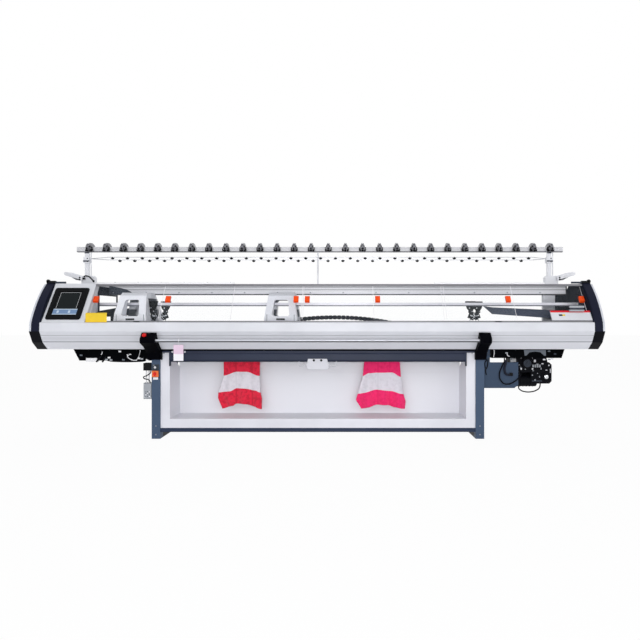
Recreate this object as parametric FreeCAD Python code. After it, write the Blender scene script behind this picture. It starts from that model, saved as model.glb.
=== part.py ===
# Flat knitting machine with two carriages, drawn in millimetres.
# X runs along the machine to the right, Y from the operator to the back, Z up; the floor is Z = 0.
import FreeCAD, Part
import math
import os

# Overall.
machine_length = 5210.0
front_reach = 475.0          # foremost point, on the rod brackets
kink_y = 405.0               # front cover's widest point, in front of the middle
back_y = 475.0               # rear cover's widest point, behind the middle
bed_centre_y = 20.0
seam = 0.3                   # gap between pieces that pass each other

# Casing outline.
casing_bottom = 838.0
casing_knee = 905.0
casing_kink = 1007.0
casing_brow = 1082.0
casing_top = 1457.0
bottom_tuck = 150.0          # how far the bottom edge lies inside the kink
knee_tuck = 60.0
brow_tuck = 3.0
top_front_y = -122.0
top_rear_y = 200.0
slope_bulge = 28.0           # rise of the curved slopes over their chords
side_panel = 20.0
side_panel_inset = 5.0
end_cover_width = 75.0
end_wall_thickness = 10.0
end_wall_inset = 7.0
sheet = 4.0
sill_depth = 92.0
sill_z = 1090.0
sill_flange = 22.0
groove_width = 6.0
groove_depth = 1.6
groove_heights = (980.0, 918.0)
half_length = machine_length / 2
cover_inner_x = half_length - side_panel - end_cover_width
wall_inner_x = cover_inner_x - end_wall_thickness

# Legs, beams and beds.
leg_inner_x = 1472.0
leg_width = 80.0
front_post_y = -230.0
rear_post_y = 270.0
post_depth = 80.0
foot_height = 60.0
cap_height = 60.0
cross_rail_low = 62.0
cross_rail_height = 38.0
cross_rail_depth = 60.0
fabric_gap = 24.0            # slot between the base beams
beam_half_depth = 220.0
bed_tip_z = 1088.0
bed_gap = 12.0
bed_width = 200.0
bed_thickness = 25.0
bed_half_length = 1560.0
slot_count = 44
slot_width = 14.0
slot_depth = 7.0
rail_depth = 30.0
rail_height = 56.0
rail_offset = 180.0          # from the rail's near side to the bed centre
upright_x = wall_inner_x - 270
rail_right_x = upright_x - 5

# Upper structure.
housing_width = 390.0
partition_x = housing_width - wall_inner_x
partition_thickness = 8.0
beam_front_y = 155.0
beam_depth = 80.0
beam_low = 1357.0
beam_high = 1466.0
beam_right_x = wall_inner_x - 44
upright_width = 120.0
upright_depth = 40.0
yarn_rail_z = 1243.0
yarn_rail_height = 32.0
yarn_rail_depth = 14.0
yarn_rail_offsets = (-68.0, -22.0, 22.0, 68.0)
stand_x = wall_inner_x - 180
stand_y = 195.0
stand_post_shift = -18.0
stand_post_half_width = 20.0
stand_post_half_depth = 14.0
stand_thin_radius = 5.0
centre_post_x = -20.0
centre_post_radius = 8.0
bar_half_length = wall_inner_x - 63
bar_low = 1787.0
bar_height = 52.0
bar_depth = 34.0
tensioner_count = 28
tensioner_first = stand_x - 15
tensioner_width = 40.0
tensioner_length = 190.0
lid_half_depth = 60.0
lid_rise = 34.0
eyelet_rail_half = stand_x - 117
eyelet_rail_radius = 4.0
eyelet_rail_y = 365.0
eyelet_rail_heights = (1754.0, 1727.0)

# Sliding covers.
cover_foot_y = -372.0
cover_track_step = 42.0
cover_foot_z = sill_z + 7
cover_head_y = -122.0
cover_head_z = 1441.0
cover_thickness = 5.0
cover_track_numbers = (1, 0, 1, 0, 1)
cover_first_x = partition_x + 1
cover_last_x = wall_inner_x - 2
cover_parting = 20.0         # between the third cover and the fifth
open_stretch = 660.0         # between the first cover and the third
cover_width = (cover_last_x - cover_first_x - cover_parting - open_stretch) / 3
handle_insets = ((24.0,), (58.0, -58.0), (38.0,), (42.0, -51.0), (-24.0,))
handle_width = 42.0
handle_length = 64.0
handle_rise = 22.0
handle_z = 1297.0

# Carriages.
left_carriage_gap = 353.0    # from the partition
carriage_centres = (partition_x + left_carriage_gap, -350.0)
carriage_top_half = 120.0
carriage_foot_half = 167.0
carriage_low = 1012.0
carriage_high = 1370.0
arch_high = 1320.0
cam_clear = 3.0
cam_thickness = 37.0
cam_half_length = 150.0
shoe_play = 0.3
window_low = 1145.0
window_high = 1300.0
window_low_half = 82.0
window_high_half = 67.0
carrier_places = ((-1600.0, 0), (-1500.0, 2), (1470.0, 1), (1560.0, 3))

# Drive.
pulley_x = wall_inner_x - 360
pulley_radius = 38.0
pulley_z = 1000.0
belt_y = 292.0
belt_width = 25.0
belt_thickness = 5.0
shaft_radius = 10.0
roller_radius = 28.7
roller_flat_count = 24
roller_z = 740.0
roller_centre_gap = 62.0
roller_half_length = 1380.0
roller_shaft_radius = 12.0
bearing_plate_x = 1395.0
bearing_plate_thickness = 12.0
running_clearance = 0.2
lug_thickness = 8.0
lug_half_width = 25.0
lug_rise = 20.0              # above the pulley shaft

# Front controls and fabric box.
start_rod_y = -438.0
start_rod_z = 925.0
start_rod_radius = 15.0
start_rod_half = leg_inner_x + 6
box_flange_y = -215.0
box_high = 818.0
box_half_inner = leg_inner_x - 87
box_depth = 330.0
box_back_high = 702.0
box_side_low = 640.0         # top of the sides at the back
box_floor = 186.0
fabric_thickness = 4.0


def vec(x, y, z):
    return FreeCAD.Vector(x, y, z)


def box(x0, x1, y0, y1, z0, z1):
    return Part.makeBox(x1 - x0, y1 - y0, z1 - z0, vec(x0, y0, z0))


def polygon(points):
    return Part.Face(Part.makePolygon(points + [points[0]]))


def along_x(points, x0, x1):
    """Extrude a closed outline of (y, z) points from x0 to x1."""
    return polygon([vec(x0, y, z) for y, z in points]).extrude(vec(x1 - x0, 0, 0))


def along_y(points, y0, y1):
    """Extrude a closed outline of (x, z) points from y0 to y1."""
    return polygon([vec(x, y0, z) for x, z in points]).extrude(vec(0, y1 - y0, 0))


def rod_x(y, z, radius, x0, x1):
    return Part.makeCylinder(radius, x1 - x0, vec(x0, y, z), vec(1, 0, 0))


def rod_y(x, z, radius, y0, y1):
    return Part.makeCylinder(radius, y1 - y0, vec(x, y0, z), vec(0, 1, 0))


def rod_between(start, end, radius):
    return Part.makeCylinder(radius, (end - start).Length, start, end - start)


def prism_between(start, end, radius, sides):
    """Many-sided bar between two points; its corners lie on the given radius."""
    run = end - start
    across = run.cross(vec(0.6, 0.8, 0)).normalize()
    up = across.cross(run).normalize()
    turns = [2 * math.pi * (i + 0.5) / sides for i in range(sides)]
    corners = [start + across * (radius * math.cos(t)) + up * (radius * math.sin(t)) for t in turns]
    return polygon(corners).extrude(run)


def prism_z(x, y, radius, z0, z1, sides):
    return prism_between(vec(x, y, z0), vec(x, y, z1), radius, sides)


def joined(shapes):
    return shapes[0].multiFuse(shapes[1:]).removeSplitter() if len(shapes) > 1 else shapes[0]


def mirror_y(points):
    """Mirror (y, z) points about the bed centre."""
    return [(2 * bed_centre_y - y, z) for y, z in points]


def folded_sheet(points, thickness):
    """Outline of a bent sheet: the given side and its offset to the right of the way along it."""
    normals = []
    for (y0, z0), (y1, z1) in zip(points, points[1:]):
        length = math.hypot(y1 - y0, z1 - z0)
        normals.append(((z1 - z0) / length, -(y1 - y0) / length))
    inner = []
    for i, (y, z) in enumerate(points):
        ny0, nz0 = normals[max(i - 1, 0)]
        ny1, nz1 = normals[min(i, len(normals) - 1)]
        scale = thickness / (1 + ny0 * ny1 + nz0 * nz1)
        inner.append((y + (ny0 + ny1) * scale, z + (nz0 + nz1) * scale))
    return points + inner[::-1]


def save(name, shape):
    os.makedirs("parts", exist_ok=True)
    shape.exportStep("parts/" + name + ".step")


# Legs and beams.
def side_frame(side):
    """Welded leg frame: two posts, a foot bar and a cap bar that carries the beams."""
    x0, x1 = sorted((side * leg_inner_x, side * (leg_inner_x + leg_width)))
    rear_end = rear_post_y + post_depth
    return joined([
        box(x0, x1, front_post_y, front_post_y + post_depth, 0, casing_bottom),
        box(x0, x1, rear_post_y, rear_end, 0, casing_bottom),
        box(x0, x1, front_post_y, rear_end, 0, foot_height),
        box(x0, x1, front_post_y, rear_end, casing_bottom - cap_height, casing_bottom)])


def bottom_cross_rail():
    low_y = front_post_y + (post_depth - cross_rail_depth) / 2
    return box(-leg_inner_x, leg_inner_x, low_y, low_y + cross_rail_depth,
               cross_rail_low, cross_rail_low + cross_rail_height)


diagonal = math.sqrt(0.5)
bed_tip_y = bed_centre_y - bed_gap / 2


def bed_point(down, out):
    """Point on the front bed: down its slope from the tip, and out square to it."""
    return (bed_tip_y - diagonal * (down + out), bed_tip_z + diagonal * (out - down))


def bed_outline():
    low_inner = (bed_tip_y, bed_tip_z - bed_thickness / diagonal)
    return [bed_point(0, 0), bed_point(bed_width, 0), bed_point(bed_width, -bed_thickness), low_inner]


def base_beam_outline():
    gap_y = bed_centre_y - fabric_gap / 2
    seat_y, seat_z = bed_point(bed_width, -bed_thickness)
    peak_z = seat_z + (gap_y - seat_y)
    ledge_y = bed_centre_y - beam_half_depth
    return [(gap_y, casing_bottom), (gap_y, peak_z), (seat_y, seat_z), (ledge_y, seat_z),
            (ledge_y, casing_bottom)]


def needle_bed():
    """Front bed: a sloping plate with open needle slots milled down its face."""
    bed = along_x(bed_outline(), -bed_half_length, bed_half_length)
    pitch = 2 * bed_half_length / slot_count
    slots = []
    for i in range(slot_count):
        middle = -bed_half_length + pitch * (i + 0.5)
        outline = [bed_point(-slot_depth, -slot_depth), bed_point(bed_width + 1, -slot_depth),
                   bed_point(bed_width + 1, 1), bed_point(-slot_depth, 1)]
        slots.append(along_x(outline, middle - slot_width / 2, middle + slot_width / 2))
    return bed.cut(Part.makeCompound(slots))


def carriage_rail_outline():
    seat_z = bed_point(bed_width, -bed_thickness)[1]
    near = bed_centre_y - rail_offset
    return [(near, seat_z), (near, seat_z + rail_height), (near - rail_depth, seat_z + rail_height),
            (near - rail_depth, seat_z)]


def pulley_support(x):
    """Lug on the rear beam's ledge with the stub shaft of a belt pulley."""
    seat_z = bed_point(bed_width, -bed_thickness)[1]
    beam_back = bed_centre_y + beam_half_depth
    lug = box(x - lug_half_width, x + lug_half_width, beam_back - lug_thickness, beam_back,
              seat_z - 1, pulley_z + lug_rise)
    return joined([lug, rod_y(x, pulley_z, shaft_radius, beam_back - 1, belt_y + belt_width / 2 + 5)])


def make_base():
    save("left_side_frame", side_frame(-1))
    save("right_side_frame", side_frame(1))
    save("bottom_cross_rail", bottom_cross_rail())
    save("front_base_beam", along_x(base_beam_outline(), -wall_inner_x, wall_inner_x))
    rear_beam = along_x(mirror_y(base_beam_outline()), -wall_inner_x, wall_inner_x)
    save("rear_base_beam", joined([rear_beam] + [pulley_support(side * pulley_x) for side in (-1, 1)]))
    bed = needle_bed()
    save("front_needle_bed", bed)
    save("rear_needle_bed", bed.mirror(vec(0, bed_centre_y, 0), vec(0, 1, 0)))
    rail_left_x = partition_x + partition_thickness
    outlines = (carriage_rail_outline(), mirror_y(carriage_rail_outline()))
    save("carriage_rails", Part.makeCompound([along_x(o, rail_left_x, rail_right_x) for o in outlines]))


# Casing.
def arc_over(start, end, bulge):
    """Middle point of an arc that rises by bulge to the left of the way from start to end."""
    length = math.hypot(end[0] - start[0], end[1] - start[1])
    middle = ((start[0] + end[0]) / 2, (start[1] + end[1]) / 2)
    return (middle[0] - (end[1] - start[1]) / length * bulge,
            middle[1] + (end[0] - start[0]) / length * bulge)


def casing(x0, x1, inset):
    """Prism of the casing's end outline, drawn in by inset all round."""
    front = -kink_y
    a = (front + bottom_tuck, casing_bottom)
    b = (front + knee_tuck, casing_knee)
    c = (front, casing_kink)
    d = (front + brow_tuck, casing_brow)
    e = (top_front_y, casing_top)
    f = (top_rear_y, casing_top)
    g = (back_y - brow_tuck, casing_brow)
    h = (back_y, casing_kink)
    i = (back_y - knee_tuck, casing_knee)
    j = (back_y - bottom_tuck, casing_bottom)

    def at(point):
        return vec(x0, point[0], point[1])

    edges = [Part.LineSegment(at(p), at(q)).toShape() for p, q in ((a, b), (b, c), (c, d))]
    edges.append(Part.Arc(at(d), at(arc_over(d, e, slope_bulge)), at(e)).toShape())
    edges.append(Part.LineSegment(at(e), at(f)).toShape())
    edges.append(Part.Arc(at(f), at(arc_over(f, g, slope_bulge)), at(g)).toShape())
    edges += [Part.LineSegment(at(p), at(q)).toShape() for p, q in ((g, h), (h, i), (i, j), (j, a))]
    wire = Part.Wire(edges)
    if inset:
        wire = wire.makeOffset2D(-inset, 2)
    return Part.Face(wire).extrude(vec(x1 - x0, 0, 0))


def front_cover():
    """Long folded cover with its sill on top and two shallow grooves along its lower face."""
    front = -kink_y
    sill_front = (front + brow_tuck + 9, sill_z)
    outer = [(front + bottom_tuck + 24, casing_bottom + 14), (front + bottom_tuck, casing_bottom),
             (front + knee_tuck, casing_knee), (front, casing_kink), (front + brow_tuck, casing_brow),
             sill_front, (front + sill_depth, sill_z), (front + sill_depth, sill_z - sill_flange)]
    cover = along_x(folded_sheet(outer, sheet), -cover_inner_x, cover_inner_x)
    run = math.hypot(knee_tuck, casing_kink - casing_knee)
    lean_y = knee_tuck / run
    lean_z = (casing_kink - casing_knee) / run
    for height in groove_heights:
        y = front + (casing_kink - height) / (casing_kink - casing_knee) * knee_tuck
        half = groove_width / 2
        middle = [(y + lean_y * half, height - lean_z * half), (y - lean_y * half, height + lean_z * half)]
        groove = [(py + side * lean_z * groove_depth, pz + side * lean_y * groove_depth)
                  for side, pair in ((-1, middle), (1, middle[::-1])) for py, pz in pair]
        cover = cover.cut(along_x(groove, -cover_inner_x, cover_inner_x))
    return cover


def rear_cover():
    outer = [(back_y - bottom_tuck - 24, casing_bottom + 14), (back_y - bottom_tuck, casing_bottom),
             (back_y - knee_tuck, casing_knee), (back_y, casing_kink), (back_y - brow_tuck, casing_brow),
             (back_y - brow_tuck - 9, sill_z), (back_y - sill_depth, sill_z),
             (back_y - sill_depth, sill_z - sill_flange)]
    return along_x(folded_sheet(outer[::-1], sheet), -cover_inner_x, cover_inner_x)


back_plate_thickness = 6.0


def right_back_plate():
    """Dark sheet between the right upright and the end wall, behind the top beam."""
    near = bed_centre_y + beam_half_depth
    low = bed_point(bed_width, -bed_thickness)[1]
    return box(upright_x + upright_width, wall_inner_x + 1, near, near + back_plate_thickness,
               low, casing_top - end_wall_inset - 3)


def make_casing():
    front = front_cover()
    rear = rear_cover()
    panels = []
    for name, side in (("left", -1), ("right", 1)):
        x0, x1 = sorted((side * cover_inner_x, side * half_length))
        panel_x0, panel_x1 = sorted((side * (half_length - side_panel), side * half_length))
        above = box(panel_x0, panel_x1, -front_reach, back_y, casing_kink, casing_top)
        save(name + "_end_cover", casing(x0, x1, 0).cut(above))
        panels.append(casing(panel_x0, panel_x1, side_panel_inset).common(above))
        x0, x1 = sorted((side * wall_inner_x, side * cover_inner_x))
        wall = casing(x0, x1, end_wall_inset).cut(front).cut(rear)
        if side > 0:
            wall = joined([wall, right_back_plate()])
        save(name + "_end_wall", wall)
    save("side_panels", Part.makeCompound(panels))
    save("front_cover", front)
    save("rear_cover", rear)


# Upper structure.
partition_front_y = -100.0
partition_back_y = 375.0
partition_top = 1430.0
partition_belly = 1140.0
partition_shoulder = 1370.0
partition_peak_y = -60.0
partition_window_low = 1195.0
partition_window_rise = 35.0
partition_window_high = 1345.0
partition_border = 25.0
foot_width = 30.0
foot_inset = 5.0
beam_groove_heights = (1437.0, 1409.0)
beam_groove = 3.0
cap_rail_spans = ((-2250.0, -860.0), (1154.0, 2250.0))
cap_rail_height = 16.0
cap_rail_inset = 6.0


def partition():
    """Plate beside the control housing: it stands on both beams and holds the top beam in a notch."""
    seat_z = bed_point(bed_width, -bed_thickness)[1]
    near = bed_centre_y - beam_half_depth + foot_inset
    far = bed_centre_y + beam_half_depth - foot_inset
    beam_back = beam_front_y + beam_depth
    outline = [(near, seat_z), (near + foot_width, seat_z), (near + foot_width, partition_belly),
               (far - foot_width, partition_belly),
               (far - foot_width, seat_z), (far, seat_z), (far, sill_z - 10), (partition_back_y, sill_z + 10),
               (partition_back_y, partition_top), (beam_back, partition_top), (beam_back, beam_low),
               (beam_front_y, beam_low), (beam_front_y, partition_top), (partition_peak_y, partition_top),
               (partition_front_y, partition_shoulder), (partition_front_y, sill_z + 100),
               (near, partition_belly + 10)]
    right = partition_x + partition_thickness
    window_front = partition_front_y + partition_border
    window_back = partition_back_y - partition_border
    opening = along_x([(window_front, partition_window_low),
                       (window_back, partition_window_low + partition_window_rise),
                       (window_back, partition_window_high), (window_front, partition_window_high)],
                      partition_x, right)
    return along_x(outline, partition_x, right).cut(opening)


def top_beam():
    back = beam_front_y + beam_depth
    beam = box(-wall_inner_x, beam_right_x, beam_front_y, back, beam_low, beam_high)
    for z in beam_groove_heights:
        beam = beam.cut(box(-wall_inner_x, beam_right_x, beam_front_y, beam_front_y + beam_groove,
                            z - beam_groove, z + beam_groove))
    seat_z = bed_point(bed_width, -bed_thickness)[1]
    upright = box(upright_x, upright_x + upright_width, beam_front_y, beam_front_y + upright_depth,
                  seat_z, beam_low)
    caps = []
    for x0, x1 in cap_rail_spans:
        caps.append(box(x0, x1, beam_front_y + cap_rail_inset, back - cap_rail_inset,
                        beam_high, beam_high + cap_rail_height))
    return joined([beam, upright] + caps)


def yarn_rails():
    rails = []
    for offset in yarn_rail_offsets:
        y = bed_centre_y + offset
        rails.append(box(-wall_inner_x, wall_inner_x, y - yarn_rail_depth / 2, y + yarn_rail_depth / 2,
                         yarn_rail_z, yarn_rail_z + yarn_rail_height))
    return Part.makeCompound(rails)


stand_base_width = 130.0
stand_base_depth = 60.0
stand_base_height = 84.0
stand_clamp = 58.0
stand_clamp_low = 1678.0
stand_brace_offset = 38.0
tensioner_pivot_x = stand_x + 65
tensioner_pivot_z = 1520.0
tensioner_pivot_radius = 9.0


def stand_clamp_block(side):
    x = side * stand_x + stand_post_shift
    half = stand_clamp / 2
    return box(x - half, x + half, stand_y - half, stand_y + half,
               stand_clamp_low, stand_clamp_low + stand_clamp)


def yarn_stand_posts():
    """Two end posts on their bases, each with its clamp, thin brace and pivot pin, and a centre post."""
    posts = [prism_z(centre_post_x, stand_y, centre_post_radius, beam_high, bar_low, 8)]
    for side in (-1, 1):
        x = side * stand_x
        base = box(x - stand_base_width / 2, x + stand_base_width / 2, stand_y - stand_base_depth / 2,
                   stand_y + stand_base_depth / 2, beam_high, beam_high + stand_base_height)
        base = base.makeChamfer(18.0, [e for e in base.Edges if abs(e.CenterOfMass.z - beam_high
                                - stand_base_height) < 0.1 and abs(e.CenterOfMass.y - stand_y) < 0.1])
        clamp = stand_clamp_block(side)
        post_x = x + stand_post_shift
        pin = rod_y(side * tensioner_pivot_x, tensioner_pivot_z, tensioner_pivot_radius,
                    stand_y - stand_base_depth / 2 - 24, stand_y)
        ear = box(*sorted((side * (tensioner_pivot_x + 12), side * (stand_x + stand_base_width / 2 - 1))),
                  stand_y - 12, stand_y + 12, tensioner_pivot_z - 14, tensioner_pivot_z + 14)
        post = box(post_x - stand_post_half_width, post_x + stand_post_half_width,
                   stand_y - stand_post_half_depth, stand_y + stand_post_half_depth, beam_high + 10, bar_low)
        brace = prism_z(post_x + stand_brace_offset, stand_y, stand_thin_radius, beam_high + 10, bar_low, 8)
        posts.append(joined([base, post, clamp, brace, ear, pin]))
    return Part.makeCompound(posts)


def tensioner(x):
    """One tension unit: a saddle over the bar with a domed lid."""
    shoulder = bar_low + bar_height + 10
    lobe = tensioner_length / 2
    half_bar = bar_depth / 2
    left = x - tensioner_width / 2
    lid = lid_half_depth
    half = [(half_bar, bar_low + bar_height), (half_bar, bar_low + 8), (lobe, bar_low + 8),
            (lobe, shoulder - 14), (lid, shoulder), (lid / 2, shoulder + lid_rise)]
    outline = [(stand_y + y, z) for y, z in half] + [(stand_y - y, z) for y, z in half[::-1]]
    return along_x(outline, left, left + tensioner_width)


def eyelet_rails():
    """Two flat rails behind the bar, on arms from the post clamps."""
    pieces = []
    radius = eyelet_rail_radius
    for z in eyelet_rail_heights:
        pieces.append(box(-eyelet_rail_half, eyelet_rail_half, eyelet_rail_y - radius, eyelet_rail_y + radius,
                          z - radius, z + radius))
        for side in (-1, 1):
            start = vec(side * (stand_x - stand_clamp / 2 + 4) + stand_post_shift, stand_y + 16,
                        stand_clamp_low + stand_clamp - 12)
            end = vec(side * (eyelet_rail_half - radius), eyelet_rail_y, z)
            pieces.append(square_bar(start, end, 3.0).cut(stand_clamp_block(side)))
    return joined(pieces)


def square_bar(start, end, half):
    """Square bar between two points, its section square to its length."""
    run = end - start
    across = run.cross(vec(0, 0, 1)).normalize()
    up = across.cross(run).normalize()
    corners = [start + across * a * half + up * b * half for a, b in ((-1, -1), (1, -1), (1, 1), (-1, 1))]
    return polygon(corners).extrude(run)


arm_blade = ((-5.0, 15.0), (-5.0, -13.0), (150.0, 30.0), (163.0, 40.0), (163.0, 60.0), (143.0, 66.0))
arm_strut = ((-10.0, -14.0), (10.0, -22.0), (92.0, 8.0), (78.0, 22.0))
arm_depth = 22.0


def tensioner_arm(side):
    """Side tensioner arm with its strut, pivoting on the stand's pin."""
    x = side * tensioner_pivot_x
    y0 = stand_y - stand_base_depth / 2 - arm_depth
    y1 = stand_y - stand_base_depth / 2 - seam

    def at(points):
        return [(x + side * px, tensioner_pivot_z + pz) for px, pz in points]

    boss = rod_y(x, tensioner_pivot_z, tensioner_pivot_radius + 9, y0, y1)
    blade = along_y(at(arm_blade), y0, y1)
    strut = along_y(at(arm_strut), y0 + 4, y1 - 4)
    arm = joined([boss, blade, strut])
    return arm.cut(rod_y(x, tensioner_pivot_z, tensioner_pivot_radius + running_clearance, y0 - 1, y1 + 1))


def make_upper():
    save("left_partition", partition())
    save("top_beam", top_beam())
    save("yarn_rails", yarn_rails())
    save("yarn_stand_posts", yarn_stand_posts())
    bar_front = stand_y - bar_depth / 2
    save("yarn_stand_bar", box(-bar_half_length, bar_half_length, bar_front, bar_front + bar_depth,
                               bar_low, bar_low + bar_height))
    pitch = 2 * tensioner_first / (tensioner_count - 1)
    units = [tensioner(-tensioner_first + pitch * i) for i in range(tensioner_count)]
    save("yarn_tensioners", Part.makeCompound(units))
    save("eyelet_rails", eyelet_rails())
    save("left_tensioner_arm", tensioner_arm(-1))
    save("right_tensioner_arm", tensioner_arm(1))


# Control housing and screen.
housing_back_y = -60.0
housing_top = 1455.0
housing_foot_y = -391.0
screen_offset = -11.0        # from the housing's middle
screen_width = 318.0
screen_length = 366.0
screen_start = 28.0
screen_rise = 9.0
screen_corner = 20.0
glass_width = 236.0
glass_length = 274.0
glass_offset = 4.0
glass_depth = 3.0


def control_housing():
    outline = [(housing_foot_y, sill_z), (top_front_y, housing_top), (housing_back_y, housing_top),
               (housing_back_y, sill_z)]
    return along_x(outline, -wall_inner_x, partition_x)


def touch_screen():
    """Screen unit with rounded corners and a shallow recess for the glass, laid on the housing's slope."""
    plate = Part.makeBox(screen_width, screen_length, screen_rise, vec(-screen_width / 2, screen_start, 0))
    upright_edges = [e for e in plate.Edges if abs(e.Vertexes[0].Z - e.Vertexes[1].Z) > 1]
    plate = plate.makeFillet(screen_corner, upright_edges)
    glass_start = screen_start + (screen_length - glass_length) / 2 + glass_offset
    plate = plate.cut(Part.makeBox(glass_width, glass_length, glass_depth,
                                   vec(-glass_width / 2, glass_start, screen_rise - glass_depth)))
    slope = math.degrees(math.atan2(housing_top - sill_z, top_front_y - housing_foot_y))
    plate.rotate(vec(0, 0, 0), vec(1, 0, 0), slope)
    plate.translate(vec((partition_x - wall_inner_x) / 2 + screen_offset, housing_foot_y, sill_z))
    return plate


end_panel_left = wall_inner_x - 366
end_panel_start = 6.0         # along the covers' slope from their foot
end_panel_high = 1185.0
end_panel_gap = 6.0           # in front of the covers
end_panel_thickness = 10.0


def right_end_box():
    far = (end_panel_high - pane_foot_z) / slope_z
    outer = end_panel_gap + end_panel_thickness
    outline = [pane_point(0, end_panel_start, end_panel_gap), pane_point(0, far, end_panel_gap),
               pane_point(0, far, outer), pane_point(0, end_panel_start, outer)]
    return along_x(outline, end_panel_left, wall_inner_x)


# Sliding covers.
track_floor = sill_z + 2
track_wall = 12.0
channel_width = 18.0
top_track_roof = cover_head_z + 9
top_track_low = cover_head_z - 9
top_track_lip = 10.0

slope_run = math.hypot(cover_head_y - cover_foot_y, cover_head_z - cover_foot_z)
slope_y = (cover_head_y - cover_foot_y) / slope_run
slope_z = (cover_head_z - cover_foot_z) / slope_run
pane_foot_z = track_floor + seam + cover_thickness * slope_y
pane_head_z = cover_head_z


def pane_point(track, along, out):
    """Point on a cover's outer face: along its slope from the foot, and out square to it."""
    y = cover_foot_y + track * cover_track_step
    return (y + slope_y * along - slope_z * out, pane_foot_z + slope_z * along + slope_y * out)


def cover_tracks():
    """Double track on the sill and double track under the casing's top edge."""
    low = []
    high = []
    for track in (0, 1):
        middle = cover_foot_y + track * cover_track_step + cover_thickness
        low += [(middle - channel_width / 2, sill_z + track_wall), (middle - channel_width / 2, track_floor),
                (middle + channel_width / 2, track_floor), (middle + channel_width / 2, sill_z + track_wall)]
        middle = cover_head_y + track * cover_track_step
        near, far = middle - channel_width / 2, middle + channel_width / 2
        high += [(near, top_track_low), (near, top_track_roof - 6), (far, top_track_roof - 6),
                 (far, top_track_low)]
    first, last = low[0][0] - 8, low[-1][0] + 3
    sill = [(first, sill_z), (first, sill_z + track_wall)] + low
    sill += [(last, sill_z + track_wall), (last, sill_z)]
    first, last = high[0][0] - top_track_lip, high[-1][0] + 4
    head = [(first, top_track_low)] + high + [(last, top_track_low), (last, top_track_roof),
                                              (first + 6, top_track_roof), (first, top_track_roof - 6)]
    return Part.makeCompound([along_x(outline, partition_x, wall_inner_x) for outline in (sill, head)])


def cover_left_ends():
    """Left ends of the five covers; the outer ones lap half a cover over the inner ones."""
    third = cover_last_x - 2 * cover_width - cover_parting
    lap = cover_width / 2
    return (cover_first_x, cover_first_x + lap, third, third + lap, cover_last_x - cover_width)


def sliding_cover(left, track, insets):
    """Clear sloping pane with a grip block near its end or ends."""
    right = left + cover_width
    length = (pane_head_z - pane_foot_z) / slope_z
    pane = along_x([pane_point(track, 0, 0), pane_point(track, length, 0),
                    pane_point(track, length, -cover_thickness), pane_point(track, 0, -cover_thickness)],
                   left, right)
    grips = []
    middle = (handle_z - pane_foot_z) / slope_z
    for inset in insets:
        x = left + inset if inset > 0 else right + inset
        near = middle - handle_length / 2
        far = middle + handle_length / 2
        outline = [pane_point(track, near, 0), pane_point(track, near + 6, handle_rise),
                   pane_point(track, far - 6, handle_rise), pane_point(track, far, 0)]
        grips.append(along_x(outline, x - handle_width / 2, x + handle_width / 2))
    return joined([pane] + grips)


def make_front():
    save("control_housing", control_housing())
    save("touch_screen", touch_screen())
    save("right_end_box", right_end_box())
    save("cover_tracks", cover_tracks())
    for i, left in enumerate(cover_left_ends()):
        save("sliding_cover_%d" % (i + 1), sliding_cover(left, cover_track_numbers[i], handle_insets[i]))


# Carriages.
cover_front_y = -225.0
cover_back_y = 265.0
cover_nose = ((1170.0, -225.0), (1340.0, -135.0))
cover_tail = ((1345.0, 150.0), (1240.0, 235.0), (1200.0, 265.0))
cover_crown_front_y = -92.0
cover_crown_back_y = 110.0
window_corner = 14.0
clamp_height = 28.0
cam_front_body_y = -95.0
shoe_low = bed_point(bed_width, -bed_thickness)[1] + rail_height + shoe_play
clamp_low = 1028.0
clamp_half = 40.0
clamp_gap = 0.5


def carriage_cover(x):
    """Arch over both beds: open along the rails and open through its window."""
    slope_end = cam_surface_y(carriage_low)
    outline = [(cover_front_y, carriage_low)] + [(y, z) for z, y in cover_nose]
    outline += [(cover_crown_front_y, carriage_high), (cover_crown_back_y, carriage_high)]
    outline += [(y, z) for z, y in cover_tail] + [(cover_back_y, carriage_low)]
    inner = [(slope_end, carriage_low), (cam_front_body_y, cam_surface_z(cam_front_body_y)),
             (cam_front_body_y, arch_high)]
    outline += [mirror_y([point])[0] for point in inner] + inner[::-1]
    cover = along_x(outline, x - carriage_foot_half, x + carriage_foot_half)
    taper = [(x - carriage_foot_half, carriage_low), (x - carriage_top_half, carriage_high),
             (x + carriage_top_half, carriage_high), (x + carriage_foot_half, carriage_low)]
    cover = cover.common(along_y(taper, cover_front_y - 10, cover_back_y + 10))
    low, high, corner = window_low_half, window_high_half, window_corner
    window = [(x - low, window_low + corner), (x - high, window_high - corner),
              (x - high + corner, window_high), (x + high - corner, window_high),
              (x + high, window_high - corner), (x + low, window_low + corner),
              (x + low - corner, window_low), (x - low + corner, window_low)]
    cover = cover.cut(along_y(window, cover_front_y - 10, cover_back_y + 10))
    clamp = box(x - clamp_half, x + clamp_half, cover_back_y - 1, belt_y - belt_width / 2 - clamp_gap,
                clamp_low, clamp_low + clamp_height)
    return joined([cover, clamp])


def cam_surface_z(y):
    """Height of a front cam plate's upper face at y."""
    ref_y, ref_z = bed_point(0, cam_clear + cam_thickness)
    return ref_z - (ref_y - y)


def cam_surface_y(z):
    ref_y, ref_z = bed_point(0, cam_clear + cam_thickness)
    return ref_y - (ref_z - z)


def cam_plates(x):
    """Front and rear cam plates over the needle beds, each with the shoe that rides on its rail."""
    top = cam_clear + cam_thickness
    near = bed_centre_y - rail_offset
    outline = [bed_point(12, cam_clear), bed_point(bed_width - 5, cam_clear), bed_point(bed_width - 5, top),
               (near + 5, shoe_low), (near - rail_depth - 8, shoe_low), (near - rail_depth - 8, carriage_low),
               (cam_surface_y(carriage_low), carriage_low), bed_point(12, top)]
    x0, x1 = x - cam_half_length, x + cam_half_length
    return Part.makeCompound([along_x(outline, x0, x1), along_x(mirror_y(outline), x0, x1)])


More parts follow.
